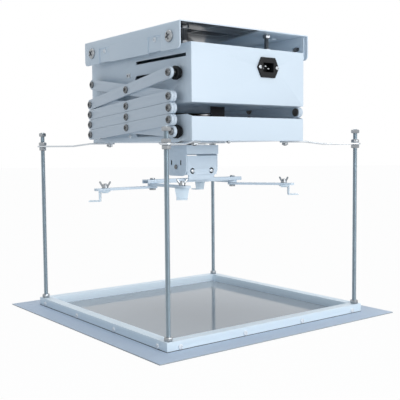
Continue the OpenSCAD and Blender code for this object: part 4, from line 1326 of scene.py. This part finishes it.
def make_camera(scene):
    """The photograph's camera."""
    data = bpy.data.cameras.new("camera")
    data.sensor_width = SENSOR
    data.lens = SENSOR * PHOTO_FOCAL_PIXELS / PHOTO_PIXELS
    data.clip_start = CAMERA_NEAR
    data.clip_end = CAMERA_FAR
    camera = bpy.data.objects.new("camera", data)
    scene.collection.objects.link(camera)
    forward = Vector((math.sin(CAMERA_YAW) * math.cos(CAMERA_DIP),
                      math.cos(CAMERA_YAW) * math.cos(CAMERA_DIP), -math.sin(CAMERA_DIP)))
    level = Vector((math.cos(CAMERA_YAW), -math.sin(CAMERA_YAW), 0))
    down = forward.cross(level)
    right = (math.cos(CAMERA_ROLL) * level + math.sin(CAMERA_ROLL) * down).normalized()
    turn = Matrix((right, right.cross(forward), -forward)).transposed()
    camera.matrix_world = Matrix.Translation(CAMERA_PLACE) @ turn.to_4x4()
    scene.camera = camera


def make_world(scene):
    """White behind the object and in its reflections, and a pale even light on it."""
    world = bpy.data.worlds.new("world")
    world.use_nodes = True
    world.node_tree.nodes.clear()
    sky = Shading(world.node_tree)
    light = sky.node("ShaderNodeBackground", {}, {"Color": (*WORLD_TINT, 1.0), "Strength": WORLD_STRENGTH})
    backdrop = sky.node("ShaderNodeBackground", {}, {"Color": (1, 1, 1, 1)})
    mixed = sky.node("ShaderNodeMixShader", {}, {0: sky.seen_directly(), 1: light, 2: backdrop})
    sky.node("ShaderNodeOutputWorld", {}, {"Surface": mixed})
    scene.world = world


def make_floor(scene):
    """A pale floor below the lowest place that the lift reaches."""
    bm = bmesh.new()
    bmesh.ops.create_grid(bm, x_segments=1, y_segments=1, size=FLOOR_HALF)
    bmesh.ops.translate(bm, vec=(0, 0, CAD_BOX[0][2] - TRAVEL), verts=bm.verts)
    mesh = bpy.data.meshes.new("floor")
    bm.to_mesh(mesh)
    bm.free()
    floor = bpy.data.objects.new("floor", mesh)
    scene.collection.objects.link(floor)
    coat = Coat("floor_paint", scene.lift_colours.stage, 0.9)
    paint = Field(coat, coat.shader.outputs[0])
    white = coat.node("ShaderNodeEmission")
    share = coat.seen_directly() * FLOOR_WHITE_SHARE
    mixed = coat.node("ShaderNodeMixShader", {}, {0: share, 1: paint, 2: white})
    coat.tree.links.new(mixed.socket, coat.tree.nodes["Material Output"].inputs["Surface"])
    mesh.materials.append(coat.material)


def make_lamp(scene, name, place, target, side, power):
    """A soft square lamp aimed at a point."""
    data = bpy.data.lights.new(name, "AREA")
    data.size = side
    data.energy = power
    lamp = bpy.data.objects.new(name, data)
    scene.collection.objects.link(lamp)
    aimed = (Vector(target) - Vector(place)).to_track_quat("-Z", "Y").to_matrix().to_4x4()
    lamp.matrix_world = Matrix.Translation(place) @ aimed


class LIFT_OT_stage(LiftOperator, Operator):
    """Floor, light and camera"""

    bl_idname = "lift.stage"
    bl_label = "Stage"

    def build(self, scene, sizes):
        scene.view_settings.view_transform = "Standard"
        make_camera(scene)
        make_world(scene)
        make_floor(scene)
        for lamp in LAMPS:
            make_lamp(scene, *lamp)


class LIFT_PT_panel(Panel):
    """The lift's pieces and settings"""

    bl_label = "Projector lift"
    bl_idname = "LIFT_PT_panel"
    bl_space_type = "VIEW_3D"
    bl_region_type = "UI"
    bl_category = "Lift"

    def draw(self, context):
        for operator in PIECES:
            self.layout.operator(operator.bl_idname)
        for group in (context.scene.lift_sizes, context.scene.lift_colours):
            column = self.layout.column()
            for name in group.bl_rna.properties.keys():
                if name not in ("rna_type", "name"):
                    column.prop(group, name)


PIECES = (LIFT_OT_casing, LIFT_OT_scissors, LIFT_OT_pivots, LIFT_OT_rollers, LIFT_OT_belt, LIFT_OT_drive,
          LIFT_OT_inlet, LIFT_OT_fasteners, LIFT_OT_rods, LIFT_OT_closure, LIFT_OT_projector_bracket,
          LIFT_OT_stage)
CLASSES = (LiftSizes, LiftColours, *PIECES, LIFT_PT_panel)


def register():
    """Adds the classes and the scene's settings."""
    for cls in CLASSES:
        bpy.utils.register_class(cls)
    bpy.types.Scene.lift_sizes = PointerProperty(type=LiftSizes)
    bpy.types.Scene.lift_colours = PointerProperty(type=LiftColours)


def unregister():
    """Removes them again."""
    del bpy.types.Scene.lift_colours
    del bpy.types.Scene.lift_sizes
    for cls in reversed(CLASSES):
        bpy.utils.unregister_class(cls)


def main():
    """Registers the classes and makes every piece."""
    register()
    for operator in PIECES:
        group, name = operator.bl_idname.split(".")
        getattr(getattr(bpy.ops, group), name)()


if __name__ == "__main__":
    main()
